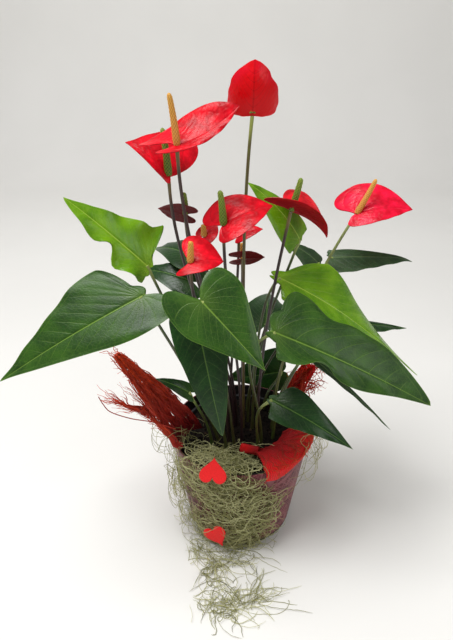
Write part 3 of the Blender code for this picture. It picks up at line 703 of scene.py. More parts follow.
def pot_look():
    """Burgundy plastic under a web of pale fibres, with painted shade: a black band round the foot and a
    near-black inside.
    """
    look = Look("pot_burgundy_fibres")
    flat = look.flat()
    web = None
    for angle, scale in ((38, 300), (-33, 260), (66, 230), (-71, 280), (8, 210)):
        thread = look.noise(look.stretched(flat, angle, (1, 0.05, 1)), scale, 1.5, 0.4)
        ridge = 1 - look.step(look.math("ABSOLUTE", thread - 0.5), 0.008, 0.030)
        web = ridge if web is None else look.math("MAXIMUM", web, ridge)
    patch = look.noise(flat, 60, 3)
    base = look.mix(look.step(patch, 0.3, 0.7), (0.058, 0.004, 0.009), (0.130, 0.012, 0.022))
    colour = look.mix(web * 0.50, base, (0.40, 0.15, 0.16))
    height = look.part(flat, 1)
    # Painted shade: near-black round the foot, up to about 6 mm, for the shadow where the pot meets the
    # table.
    band = 1 - look.step(height, 0.0045, 0.0060)
    # Painted shade: the inside walls and floor, marked inside, are near-black too.
    dark = look.math("MAXIMUM", band, look.mark("inside"))
    colour = look.mix(dark, colour, (0.012, 0.010, 0.010))
    return look.wear(colour, patch * 0.2 + 0.28, look.bump(web, 0.0003, 0.6),
                     Specular_IOR_Level=0.22)


def plastic_look():
    look = Look("nursery_black_plastic")
    place = look.place()
    dust = look.noise(place, 160, 4)
    colour = look.mix(look.step(dust, 0.5, 0.8), (0.010, 0.010, 0.011), (0.035, 0.028, 0.022))
    return look.wear(colour, dust * 0.3 + 0.35, look.bump(look.noise(place, 1500, 2), 0.0002, 0.4))


def soil_look():
    look = Look("potting_mix")
    place = look.place()
    grain = look.noise(place, 420, 5, 0.65)
    tone = look.mark("tone")
    dark = look.mix(look.step(grain, 0.35, 0.7), (0.003, 0.002, 0.002), (0.014, 0.009, 0.006))
    colour = look.mix(look.step(tone, 0.80, 1.0), dark, (0.050, 0.030, 0.017))
    return look.wear(colour, 0.92, look.bump(grain, 0.0012, 0.9), Specular_IOR_Level=0.12)


def moss_look():
    """Dried strands, each with its own tone from brown through straw to pale grey-green."""
    look = Look("spanish_moss")
    tone = look.mark("tone")
    place = look.place()
    scale = look.noise(place, 1400, 2)
    straw = look.mix(look.step(tone, 0.0, 0.45), (0.030, 0.028, 0.010), (0.270, 0.265, 0.095))
    colour = look.mix(look.step(tone, 0.45, 1.0), straw, (0.53, 0.52, 0.26))
    colour = look.mix(look.step(scale, 0.45, 0.75) * tone * 0.5, colour, (0.60, 0.59, 0.44))
    return look.wear(colour, 0.8, look.bump(scale, 0.0003, 0.8), Specular_IOR_Level=0.3)


def fibre_look():
    look = Look("sisal_fibre")
    tone = look.mark("tone")
    place = look.place()
    grain = look.noise(place, 1100, 3)
    # Tone runs from dark red to orange; on the fringes and sprays it rises along each fibre as painted
    # shade and light.
    colour = look.mix(tone, (0.22, 0.003, 0.006), (1.0, 0.10, 0.020))
    colour = look.mix(look.step(grain, 0.5, 0.75) * 0.25, colour, (0.28, 0.005, 0.008))
    return look.wear(colour, grain * 0.25 + 0.45, look.bump(grain, 0.0003, 0.7), Specular_IOR_Level=0.3)


def sisal_cloth_look(name, threads, foot, end):
    """Coarse cloth: two crossing sets of uneven threads with dark gaps between them, darker at its
    foot as painted shade and brighter towards its far end as painted light."""
    look = Look(name)
    flat = look.flat()
    wander = look.noise(flat, 9, 3) * 0.05
    warp = look.math("PINGPONG", (look.part(flat, 0) + wander) * threads, 0.5) * 2
    weft = look.math("PINGPONG", (look.part(flat, 1) + wander) * threads * 1.4, 0.5) * 2
    thread = look.math("MAXIMUM", warp, weft * 0.7)
    place = look.place()
    fibre = look.noise(look.stretched(place, 25, (1, 0.12, 1)), 1300, 3)
    # Painted shade and light: the foot colour darkens the foot and the end colour brightens the far end.
    colour = look.mix(look.step(look.part(flat, 1), 0.05, 0.75), foot, end)
    colour = look.mix(look.step(fibre, 0.45, 0.85) * 0.35, colour, foot)
    colour = look.mix((1 - look.step(thread, 0.10, 0.55)) * 0.55, colour, (0.10, 0.002, 0.004))
    height = thread * 0.8 + fibre * 0.5
    return look.wear(colour, fibre * 0.2 + 0.5, look.bump(height, 0.0008, 0.9), Specular_IOR_Level=0.3)


def felt_look():
    look = Look("felt_bright_red")
    place = look.place()
    fibre = look.noise(place, 1900, 4, 0.7)
    tuft = look.noise(place, 260, 3)
    colour = look.mix(look.step(fibre, 0.3, 0.7), (0.70, 0.002, 0.004), (0.95, 0.010, 0.012))
    colour = look.mix(look.step(tuft, 0.55, 0.8) * 0.3, colour, (0.60, 0.001, 0.003))
    return look.wear(colour, 0.85, look.bump(fibre + tuft * 0.5, 0.0004, 0.8),
                     Sheen_Weight=0.5, Sheen_Roughness=0.5, Sheen_Tint=(1.0, 0.25, 0.2, 1))


def floor_look():
    look = Look("floor_pale")
    place = look.place()
    cloud = look.noise(place, 3, 3)
    colour = look.mix(look.step(cloud, 0.3, 0.7), (0.79, 0.78, 0.755), (0.82, 0.81, 0.785))
    return look.wear(colour, 0.7)


# --- Leaves and flowers ---


# The girth of a stem, and how much it swells at its knee and at its foot.
PETIOLE = (0.0012, 0.0005, 0.0010)
FLOWER_STALK = (0.00125, 0.0002, 0.0008)
STEM_BURIED = 0.007


def stem_path(st, knee, count=44):
    """Places from inside the soil to the knee, on the design's own curve."""
    leaves, arrives = unit(st["leaves"]), unit(st["arrives"])
    foot = np.array([*st["root"], SOIL_LEVEL + 2 * GAP + STALK_RADIUS * sqrt(1 - leaves[2]**2)])
    distance = np.linalg.norm(knee - foot)
    path = bezier((foot, foot + leaves * st["rise"] * distance,
                   knee - arrives * st["reach"] * distance, knee), count)
    return np.vstack([foot - leaves * STEM_BURIED, path])


def stem_shape(path, girth, knee_swell, foot_swell):
    """A stem with a swollen knee and a sheath at its foot."""
    runs = np.concatenate([[0], np.cumsum(np.linalg.norm(np.diff(path, axis=0), axis=1))])
    away = runs[-1] - runs
    radii = girth + knee_swell * np.exp(-((away - 0.003) / 0.0045) ** 2)
    radii += foot_swell * np.exp(-runs / 0.016)
    return tube_shape(path, radii, 12, along=away)


def leaf(name, b, st, blade_material, stem_material, slot):
    piece = Piece(name + "_fine")
    piece.put(blade_shape(b, LEAF_THICKNESS))
    piece.put(stem_shape(stem_path(st, b["knee"]), *PETIOLE), 1)
    return piece.make([blade_material, stem_material], [name], slot)


SPADIX_BUMP = 0.00050  # how far a bump stands out from the gaps round it
SPADIX_PITCH = 0.0026
SPADIX_SPIRALS = 7
SPADIX_BEND = 0.05


def spadix_shape(foot, way, length, girth):
    """A tapering spadix, slightly bent, whose bumps stand in crossing spirals."""
    sides = 44
    rows = max(30, int(length / 0.00034))
    share = np.linspace(0, 1, rows)
    way = unit(way)
    aside = unit(np.cross(way, (0.2, 1.0, 0.1)))
    other = np.cross(way, aside)
    dome = np.sqrt(np.clip(1 - (np.clip(share - 0.90, 0, None) / 0.10) ** 2, 0.0004, 1))
    neck = 0.80 + 0.20 * np.clip(share / 0.12, 0, 1)
    radius = girth * (1 - 0.38 * share) * dome * neck
    centre = foot + np.outer(length * share, way)
    centre += np.outer(SPADIX_BEND * length * share**2, aside)
    angle = np.linspace(0, 2 * pi, sides, endpoint=False)
    around, height = np.meshgrid(angle, length * share)
    round_turn, upward = SPADIX_SPIRALS * around, 2 * pi / SPADIX_PITCH * height
    lattice = (1 + np.cos(round_turn + upward)) * (1 + np.cos(round_turn - upward))
    lattice = np.sqrt(lattice / 4)
    out = radius[:, None] + SPADIX_BUMP * (lattice - 0.5) * dome[:, None]
    points = centre[:, None, :] + out[..., None] * (np.cos(around)[..., None] * aside
                                                    + np.sin(around)[..., None] * other)
    faces, index, _ = ring_quads(rows, sides)
    faces += [index[0][::-1].tolist(), index[-1].tolist()]
    marks = dict(along=np.repeat(share, sides), bump=lattice.ravel())
    return points.reshape(-1, 3), faces, marks


def flower(name, b, st, way, length, colour, look, spadix_materials, stalk_material):
    spathe = Piece("spathe_%s_fine" % name)
    spathe.put(blade_shape(b, SPATHE_THICKNESS, 0.0011))
    spathe.make([look], ["spathe_" + name], "spathe")
    stalk = Piece("stalk_%s_fine" % name)
    stalk_end = b["knee"] - unit(st["arrives"]) * STALK_RADIUS
    stalk.put(stem_shape(stem_path(st, stalk_end), *FLOWER_STALK))
    stalk.make([stalk_material], ["stalk_" + name], "stalk")
    spadix = Piece("spadix_%s_fine" % name)
    girth = SPADIX_RADIUS if colour == "green" else 0.9 * SPADIX_RADIUS
    spadix.put(spadix_shape(b["knee"], np.array(way, float), length, girth))
    spadix.make([spadix_materials[colour]], ["spadix_" + name], "spadix_" + colour)


# --- Pot, nursery pot and soil ---


def pot_radius(z):
    return POT_BASE_RADIUS + (POT_RIM_RADIUS - POT_BASE_RADIUS) * z / POT_HEIGHT


def arc(centre, radius, start, end, count):
    """Points of a turned profile's arc, as (radius from the axis, height)."""
    angles = np.radians(np.linspace(start, end, count))
    return [(centre[0] + radius * cos(a), centre[1] + radius * sin(a)) for a in angles]


def outer_pot(material):
    foot = 0.004
    lip = POT_WALL / 2
    hollow, ring = 0.0012, 0.043  # the height and radius of the hollow under the pot
    side = [(pot_radius(z), z) for z in np.linspace(foot, POT_HEIGHT - lip, 24)]
    profile = [(0, hollow), (ring - 0.003, hollow), (ring, 0)]
    profile += arc((pot_radius(foot) - foot, foot), foot, -90, 0, 8)[:-1] + side
    profile += arc((POT_RIM_RADIUS - lip, POT_HEIGHT - lip), lip, 0, 180, 9)
    profile += [(pot_radius(foot) - POT_WALL, foot + POT_WALL), (0, foot + POT_WALL)]
    points, faces, _ = turned_shape(profile, 144)
    wrap = np.arctan2(points[:, 1], points[:, 0]) * POT_BASE_RADIUS
    distance = np.hypot(points[:, 0], points[:, 1])
    # The inside walls and floor, which the pot's material paints near-black as painted shade.
    inside = distance < [pot_radius(z) - POT_WALL * 0.75 for z in points[:, 2]]
    marks = dict(flat=np.stack([wrap, points[:, 2], 0 * wrap], -1), inside=inside.astype(float))
    piece = Piece("outer_pot_fine")
    piece.put((points, faces, marks))
    return piece.make([material], ["outer_pot"], "pot")


def nursery_pot(material):
    floor = 0.0021
    wall = 0.0010
    lip = 0.002
    bead = 0.0007
    level = NURSERY_RIM_LEVEL
    rim = NURSERY_RIM_RADIUS
    profile = [(0, floor), (NURSERY_BASE_RADIUS, floor), (rim - lip, level - 2 * lip - 0.0004),
               (rim - 0.0004, level - 2 * lip)]
    profile += arc((rim - bead, level - bead), bead, 0, 90, 5)
    profile += arc((rim - lip - wall + bead, level - bead), bead, 90, 180, 5)
    profile += [(NURSERY_BASE_RADIUS - wall, floor + wall), (0, floor + wall)]
    piece = Piece("nursery_pot_fine")
    piece.put(turned_shape(profile, 120))
    return piece.make([material], ["nursery_pot"], "nursery_pot")


def crumb_shape(centre, size, chance):
    """A small irregular lump."""
    angle, turns, levels = chance.uniform(0, 6), 6, 3
    points = [centre + Vector((0, 0, -size * 0.5)), centre + Vector((0, 0, size * 0.5))]
    for level in range(levels):
        tilt = radians(-45 + 45 * level)
        for k in range(turns):
            a = angle + 2 * pi * k / turns
            r = size * chance.uniform(0.7, 1.15) * 0.6
            out, up = r * cos(tilt), 0.8 * r * sin(tilt)
            points.append(centre + Vector((out * cos(a), out * sin(a), up)))
    faces = []
    for k in range(turns):
        n = (k + 1) % turns
        faces.append((0, 2 + n, 2 + k))
        faces.append((1, 2 + (levels - 1) * turns + k, 2 + (levels - 1) * turns + n))
        for level in range(levels - 1):
            low, high = 2 + level * turns, 2 + (level + 1) * turns
            faces.append((low + k, low + n, high + n, high + k))
    return np.array(points), faces, dict(tone=np.full(len(points), chance.random()))


CRUMBS = 520
CRUMB_SIZES = (0.0009, 0.0013, 0.0018, 0.0026)


def potting_soil(material):
    """A crumbly surface: an uneven turned body with loose crumbs on it."""
    chance = random.Random(11)
    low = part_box("potting_soil")[0].z
    low_radius = NURSERY_BASE_RADIUS - 0.002
    rings = [(r, SOIL_LEVEL) for r in np.linspace(SOIL_RADIUS, 0.001, 34)]
    points, faces, _ = turned_shape([(0, low), (low_radius, low), *rings, (0, SOIL_LEVEL)], 96)
    top = points[:, 2] > SOIL_LEVEL - 0.02
    for i in np.flatnonzero(top):
        place = Vector((points[i, 0], points[i, 1], 0))
        points[i, 2] += 0.0018 * noise.noise(place * 160) + 0.0010 * noise.noise(place * 480)
    piece = Piece("potting_soil_fine")
    piece.put((points, faces, {}))
    for _ in range(CRUMBS):
        a, r = chance.uniform(0, 2 * pi), SOIL_RADIUS * 0.97 * sqrt(chance.random())
        size = chance.choice(CRUMB_SIZES)
        centre = Vector((r * cos(a), r * sin(a), SOIL_LEVEL + size * 0.2))
        piece.put(crumb_shape(centre, size, chance))
    return piece.make([material], ["potting_soil"], "soil")


# --- Sisal ---


def channel(start, middle, end, width, opening, pleats, depth, taper=0.0):
    """A sheet along a bowed centre line, bent across its width like a gutter, with pleats that
    run along it and a crumpled surface. taper narrows its far end."""
    start, middle, end, opening = (np.array(v, float) for v in (start, middle, end, opening))

    def point(s, t):
        t = t[:, None]
        centre = (1 - t)**2 * start + 2 * t * (1 - t) * middle + t**2 * end
        heading = unit(2 * (1 - t) * (middle - start) + 2 * t * (end - middle))
        across = unit(np.cross(opening, heading))
        normal = np.cross(heading, across)
        span = width * (1 - 0.35 * t - taper * t**3)
        angle = (s[:, None] - 0.5) * pi * 0.6
        radius = span / (pi * 0.6)
        crease = depth * np.sin(2 * pi * pleats * s[:, None] + 1.5 * np.sin(7 * t))
        crease = crease * (0.4 + 0.6 * t) + 0.4 * depth * np.sin(23 * t + 9 * s[:, None])
        return (centre + across * radius * np.sin(angle)
                + normal * (radius * (1 - np.cos(angle)) + crease))

    return point


def shake(chance):
    """A random offset, alike in every direction."""
    return np.array([chance.gauss(0, 1) for _ in range(3)])


def fibre_path(point, s, t_from, t_to, wander, lift, chance, reach=0.0, droop=0.0):
    """A loose fibre along a sheet that may run on past its end, curling as it goes."""
    count = 16
    t = np.linspace(t_from, t_to, count)
    drift = np.array([wander * noise.noise(Vector((s * 40, 3.1 * x, chance.random() * 0.2))) for x in t])
    places = point(np.clip(s + drift, 0, 1), np.clip(t, 0, 1))
    twist = np.array([noise.noise_vector(Vector((s * 91 + 5, 5 * x, 1.7))) for x in t])
    places = places + twist * lift
    if reach:
        way = unit(places[-1] - places[-3])
        kick = unit(shake(chance))
        steps = np.linspace(0, 1, 10)[1:, None]
        tail = places[-1] + reach * (steps * way + 0.35 * steps**2 * kick)
        tail = tail + reach * 0.12 * np.sin(steps * 9 + s * 50) * np.cross(way, kick)
        tail[:, 2] -= droop * steps[:, 0] ** 2
        places = np.vstack([places, tail])
    return places


def sisal_fringe(name, point, chance, count, wander, lift, ends, material, pale=1.0):
    """The loose fibres of a sheet. ends is how far past its end they may run, and pale is the tone of
    the fibres there, painted light; each fibre's tone rises from painted shade near the foot."""
    piece = Piece(name)
    for _ in range(count):
        s = chance.random()
        t_from = chance.uniform(0.0, 0.45)
        t_to = chance.uniform(0.6, 1.0)
        reach = chance.uniform(0.2, 1.0) ** 2 * ends
        girth = chance.choice((0.00028, 0.00038, 0.00055))
        path = fibre_path(point, s, t_from, t_to, wander, lift, chance, reach, 0.3 * reach)
        # Painted shade and light: the tone rises from the fibre's start to its end.
        tone = np.linspace(0.35 * t_from, pale, len(path)) * chance.uniform(0.5, 1.0)
        taper = np.linspace(1, 0.45, len(path)) * girth
        piece.put(tube_shape(path, taper, 5, tone=tone))
    return piece.make([material], [], "sisal")


def spray(piece, start, end, count, spread, chance, girth=0.00042):
    """Ragged fibres that leave one place together and end apart."""
    start, end = np.array(start), np.array(end)
    way = end - start
    for _ in range(count):
        away = shake(chance) * spread
        middle = shake(chance) * spread * 0.6
        share = chance.uniform(0.45, 1.0)
        begin = start + shake(chance) * spread * 0.35
        path = bezier((begin, begin + way * share * 0.35 + middle,
                       start + way * share * 0.7 - middle * 0.5, start + way * share + away), 14)
        wiggle = np.array([noise.noise_vector(Vector(p) * 160) for p in path])
        path = path + wiggle * 0.0025
        path[:, 2] = np.maximum(path[:, 2], 0.001)
        # Painted shade and light: darker where the fibres leave together, brighter at their ends.
        tone = np.linspace(0.1, 0.9, 14) * chance.uniform(0.4, 1.0)
        piece.put(tube_shape(path, np.linspace(1, 0.4, 14) * girth, 5, tone=tone))


def curls(piece, start, across, heading, count, length, chance, girth):
    """Curly fibres that rise in one upright plane from a line through start."""
    start, across = np.array(start), np.array(across)
    for _ in range(count):
        points = chance.randint(12, 22)
        walk = wandering(chance, points, length / 18, heading + chance.gauss(0, 0.35), 0.38)
        drift = np.array([noise.noise(Vector((chance.random() * 0.1, 0.3 * i, 4.4)))
                          for i in range(points)])
        places = start + across * chance.random()
        places = places + np.column_stack([walk[:, 0], 0.005 * drift, walk[:, 1]])
        taper = np.linspace(1, 0.4, points) * girth
        piece.put(tube_shape(places, taper, 5, tone=0.75 * chance.random()))


def slits(long, share):
    """Where a worn cloth has parted: slits that run along it, over about a share of it."""
    def holes(s, t):
        inside = 0.06 < s < 0.94 and 0.12 < t < 0.95
        return inside and noise.noise(Vector((s * 16, t * long, 8.8))) > 0.62 - share
    return holes


def sisal_left(cloth, fibre):
    """A long worn roll of cloth that leans out to the left, with a ragged spray at its side."""
    point = channel((-0.052, -0.010, 0.109), (-0.072, -0.024, 0.160), (-0.109, -0.024, 0.211),
                    0.034, (0.5, -0.9, 0.4), 2.5, 0.0022, 0.46)
    sheet = Piece("sisal_fan_left_cloth")
    sheet.put(grid_shape(point, 56, 130, SISAL_THICKNESS, slits(5.0, 0.42)))
    made = sheet.make([cloth], ["sisal_fan_left"], "sisal")
    chance = random.Random(21)
    fringe = sisal_fringe("sisal_fan_left_fringe", point, chance, 230, 0.35, 0.0045, 0.014, fibre)
    ragged = Piece("sisal_fan_left_spray")
    branch = (-0.080, -0.028, 0.148)
    spray(ragged, branch, (-0.126, -0.030, 0.171), 46, 0.0042, chance)
    spray(ragged, branch, (-0.106, -0.030, 0.186), 20, 0.0040, chance, 0.0003)
    spray(ragged, branch, (-0.112, -0.030, 0.160), 22, 0.0045, chance, 0.0003)
    spray(ragged, (-0.058, -0.038, 0.118), (-0.092, -0.028, 0.160), 50, 0.0032, chance)
    wire = catmull_rom([(-0.1275, -0.030, 0.170), (-0.1240, -0.030, 0.161), (-0.1180, -0.031, 0.1535),
                        (-0.100, -0.035, 0.1495), (-0.080, -0.036, 0.146), (-0.060, -0.036, 0.138)], 40)
    ragged.put(tube_shape(wire, 0.00045, 8, tone=0.2))
    spray_made = ragged.make([fibre], [], "sisal")


def sisal_right(cloth, fibre):
    """A shorter piece behind the right side, fraying into curls."""
    point = channel((0.048, 0.030, 0.104), (0.056, 0.034, 0.135), (0.070, 0.030, 0.164),
                    0.024, (-0.3, -0.9, 0.3), 2, 0.0016)
    sheet = Piece("sisal_fan_right_cloth")
    sheet.put(grid_shape(point, 40, 80, SISAL_THICKNESS, slits(4.0, 0.30)))
    made = sheet.make([cloth], ["sisal_fan_right"], "sisal")
    chance = random.Random(22)
    fringe = sisal_fringe("sisal_fan_right_fringe", point, chance, 120, 0.4, 0.004, 0.008, fibre, 0.6)
    frayed = Piece("sisal_fan_right_curls")
    curls(frayed, (0.055, 0.032, 0.150), (0.022, 0, 0.010), 1.3, 34, 0.026, chance, 0.00050)
    curls(frayed, (0.066, 0.030, 0.124), (0.008, 0, 0.030), 0.6, 30, 0.024, chance, 0.00045)
    frayed_made = frayed.make([fibre], [], "sisal")


# The front flap from its inner end over the rim, as (radius, height).
FOLD_SECTION = [(0.032, 0.1065), (0.046, 0.1150), (0.058, 0.1160),
                (POT_RIM_RADIUS - 0.0010, POT_HEIGHT + 0.0025),
                (POT_RIM_RADIUS + 0.0020, POT_HEIGHT + 0.0005),
                (POT_RIM_RADIUS + 0.0022, POT_HEIGHT - 0.0035)]
FLAP_LEFT, FLAP_SPAN = -72, 66  # azimuths in degrees


def roll_shape(start, end, radius, turns):
    """A sheet end rolled up on itself along the line from start to end."""
    start, end = np.array(start), np.array(end)
    way = unit(end - start)
    side = unit(np.cross(way, (0, 0, 1)))
    up = np.cross(side, way)

    def point(s, t):
        angle = (2 * pi * turns * s)[:, None]
        out = radius * (1 - 0.62 * s)[:, None]
        return start + (end - start) * t[:, None] + out * (np.cos(angle) * side + np.sin(angle) * up)

    return grid_shape(point, 60, 14, SISAL_THICKNESS * 0.6)


def sisal_front(cloth, fibre):
    """The flap over the rim at the front right, whose inner corner is rolled up."""
    section = catmull_rom(FOLD_SECTION, 200)

    def point(s, t):
        place = section[np.round(199 * t).astype(int)]
        azimuth = np.radians(FLAP_LEFT + FLAP_SPAN * s)
        radius = place[:, 0] + 0.010 * s * (1 - t)
        crumple = np.array([noise.noise(Vector((9 * a, 6 * b, 0.5))) for a, b in zip(s, t)])
        corner = np.clip(1 - np.abs(s - 0.12) / 0.30, 0, 1) * np.clip((t - 0.78) / 0.22, 0, 1)
        height = place[:, 1] + 0.0016 * crumple * (1 - t) - 0.0055 * corner
        return np.stack([radius * np.cos(azimuth), radius * np.sin(azimuth), height], -1)

    sheet = Piece("sisal_fold_front_cloth")
    sheet.put(grid_shape(point, 70, 60, SISAL_THICKNESS))
    made = sheet.make([cloth], ["sisal_fold_front"], "sisal")
    rolled = Piece("sisal_fold_front_roll")
    rolled.put(roll_shape((0.016, -0.036, 0.1105), (0.000, -0.030, 0.1095), 0.0045, 1.7))
    rolled_made = rolled.make([cloth], [], "sisal")
    chance = random.Random(23)
    fringe = sisal_fringe("sisal_fold_front_fringe", point, chance, 110, 0.2, 0.0018, 0.003, fibre)


# --- Felt hearts ---

HEART_WIDTH = 0.025
HEART_THICKNESS = 0.003
HEART_OFFSET = 0.0099  # from the pot's side to the middle of the felt, over the moss


def heart_shape(matrix):
    """A pressed felt heart with softly rounded edges."""
    count, rings = 96, 12
    a = np.linspace(0, 2 * pi, count, endpoint=False)
    outline = np.stack([16 * np.sin(a)**3,
                        13 * np.cos(a) - 5 * np.cos(2 * a) - 2 * np.cos(3 * a) - np.cos(4 * a)], -1)
    outline = outline * HEART_WIDTH / 32
    shares = np.linspace(0, 1, rings + 1)[1:] ** 0.6
    flat = np.vstack([[[0, 0]]] + [share * outline for share in shares])
    edge = np.concatenate([[0], np.repeat(shares, count)])
    half = HEART_THICKNESS / 2 * np.sqrt(np.clip(1 - edge**8, 0, 1))
    uneven = np.array([noise.noise(Vector((x * 400, z * 400, 0.3))) for x, z in flat])
    half = half + 0.00012 * uneven * (edge < 0.99)
    points = np.vstack([np.stack([flat[:, 0], depth, flat[:, 1]], -1) for depth in (-half, half)])
    points = np.array([matrix @ Vector(p) for p in points])
    return points, plate_faces(*disc_faces(count, rings)), {}


def heart(name, azimuth, height, inward, roll, lean, material):
    out = pot_radius(height) + HEART_OFFSET - inward
    a = radians(azimuth)
    matrix = (Matrix.Translation((out * cos(a), out * sin(a), height))
              @ Matrix.Rotation(a + pi / 2, 4, "Z") @ Matrix.Rotation(radians(lean), 4, "X")
              @ Matrix.Rotation(radians(roll), 4, "Y"))
    piece = Piece(name + "_felt")
    piece.put(heart_shape(matrix))
    made = piece.make([material], [name], "felt")


# --- Spanish moss ---

MOSS_OUTSIDE = 2 * GAP + 0.0025  # from the pot's side to the middle of the moss
# The moss from the soil over the rim to the table, as (radius, height).
DRAPE_SECTION = [(0.038, 0.1050), (0.050, 0.1080), (0.060, 0.1135),
                 (POT_RIM_RADIUS - 0.0020, POT_HEIGHT + 0.0045),
                 (POT_RIM_RADIUS + 0.0030, POT_HEIGHT + 0.0040),
                 (POT_RIM_RADIUS + 0.0045, POT_HEIGHT - 0.0010),
                 *((pot_radius(z) + MOSS_OUTSIDE, z) for z in (0.095, 0.065, 0.035, 0.004))]


class Drape:
    """The middle surface of the moss over the rim: places by azimuth and by length of section."""

    def __init__(self):
        self.section = catmull_rom(DRAPE_SECTION, 300)
        steps = np.linalg.norm(np.diff(self.section, axis=0), axis=1)
        self.runs = np.concatenate([[0], np.cumsum(steps)])
        self.length = self.runs[-1]
        along = unit(np.gradient(self.section, axis=0))
        self.out = np.stack([-along[:, 1], along[:, 0]], -1)

    def place(self, azimuth, run, lift):
        radius, height, out_r, out_z = (np.interp(run, self.runs, column) for column in
                                        (*self.section.T, *self.out.T))
        radius = radius + out_r * lift
        height = np.maximum(height + out_z * lift, STRAND_RADIUS)
        return np.stack([radius * np.cos(azimuth), radius * np.sin(azimuth), height], -1)

    def edges(self, run):
        """The left and right azimuths of the mat at a length of section."""
        t = run / self.length
        bulge = sin(pi * min(1.0, max(0.0, (t - 0.34) / 0.72)))
        return radians(-152 + 6 * t), radians(-77 + 22 * bulge)


def wandering(chance, count, step, heading, curl):
    """Steps of a walk in a plane whose direction keeps curling one way, then another."""
    turn = chance.gauss(0, curl)
    places = [(0.0, 0.0)]
    for _ in range(count - 1):
        turn = 0.92 * turn + chance.gauss(0, 0.33 * curl)
        heading += turn
        x, y = places[-1]
        places.append((x + step * cos(heading), y + step * sin(heading)))
    return np.array(places)


def moss_strand(piece, places, girth, tone, chance):
    """A strand with the slight kinks of dried moss, thin at both ends."""
    count = len(places)
    share = np.linspace(0, 1, count)
    start = chance.uniform(0, 60)
    kink = np.array([noise.noise_vector(Vector((start + 0.9 * i, 2.3, 7.7))) for i in range(count)])
    places = places + kink * 0.0007
    places[:, 2] = np.maximum(places[:, 2], girth)
    taper = np.sqrt(np.clip(np.minimum(share, 1 - share) * 6, 0.15, 1))
    piece.put(tube_shape(places, girth * taper, 4, tone=tone))


def moss_on_drape(piece, drape, chance, count, lengths, layer, tones):
    """Strands that curl over the mat. layer is the range of their lift from its middle."""
    for _ in range(count):
        run = chance.uniform(0, drape.length)
        left, right = drape.edges(run)
        azimuth = chance.triangular(left, right, right - 0.45)
        points = chance.randint(*lengths)
        walk = wandering(chance, points, 0.0021, chance.gauss(pi / 2, 1.2), 0.27)
        walk = walk - walk.mean(axis=0)
        runs = np.clip(run + walk[:, 1], 0, drape.length)
        angles = azimuth + walk[:, 0] / (POT_RIM_RADIUS - 0.004)
        angles = np.clip(angles, left - 0.12, right + 0.30)
        seed = chance.uniform(0, 90)
        wave = np.array([noise.noise(Vector((seed + 0.30 * i, 0.5, 0.5))) for i in range(points)])
        lift = np.interp(wave, (-0.5, 0.5), layer)
        girth = STRAND_RADIUS * chance.uniform(0.65, 1.15)
        moss_strand(piece, drape.place(angles, runs, lift), girth, chance.uniform(*tones), chance)


def moss_wisps(piece, drape, chance, count, azimuths, runs, reach):
    """Loose loops that stand away from the pot beside the mat."""
    for _ in range(count):
        points = chance.randint(18, 34)
        walk = wandering(chance, points, 0.0020, chance.gauss(pi / 2, 0.8), 0.30)
        azimuth = radians(chance.uniform(*azimuths)) + walk[:, 0] / POT_RIM_RADIUS
        run = np.clip(chance.uniform(*runs) + walk[:, 1], 0, drape.length)
        lift = reach * chance.random() * np.sin(np.linspace(0, 0.9 * pi, points)) - 0.0015
        girth = STRAND_RADIUS * chance.uniform(0.45, 0.8)
        moss_strand(piece, drape.place(azimuth, run, lift), girth, chance.uniform(0.3, 1.0), chance)


def moss_on_level(piece, chance, path, level, width, count, heap):
    """Strands that follow a path over a level place, heaped up towards its middle."""
    line = catmull_rom(path, 60)
    for _ in range(count):
        start = chance.randrange(0, 44)
        picked = line[start:start + chance.randint(12, 24)]
        walk = wandering(chance, len(picked), 0.0021, chance.uniform(0, 2 * pi), 0.32)
        aside = chance.gauss(0, width / 2)
        way = unit(picked[-1] - picked[0])
        places = picked + np.array([-way[1], way[0]]) * aside + walk * 0.8
        room = max(0.0, 1 - abs(aside) / width)
        rise = heap * room * chance.random() * np.sin(np.linspace(0.2, pi - 0.2, len(places)))
        places = np.column_stack([places, level + STRAND_RADIUS + 0.0002 + np.maximum(0, rise)])
        girth = STRAND_RADIUS * chance.uniform(0.5, 0.95)
        moss_strand(piece, places, girth, chance.uniform(0.2, 1.0), chance)


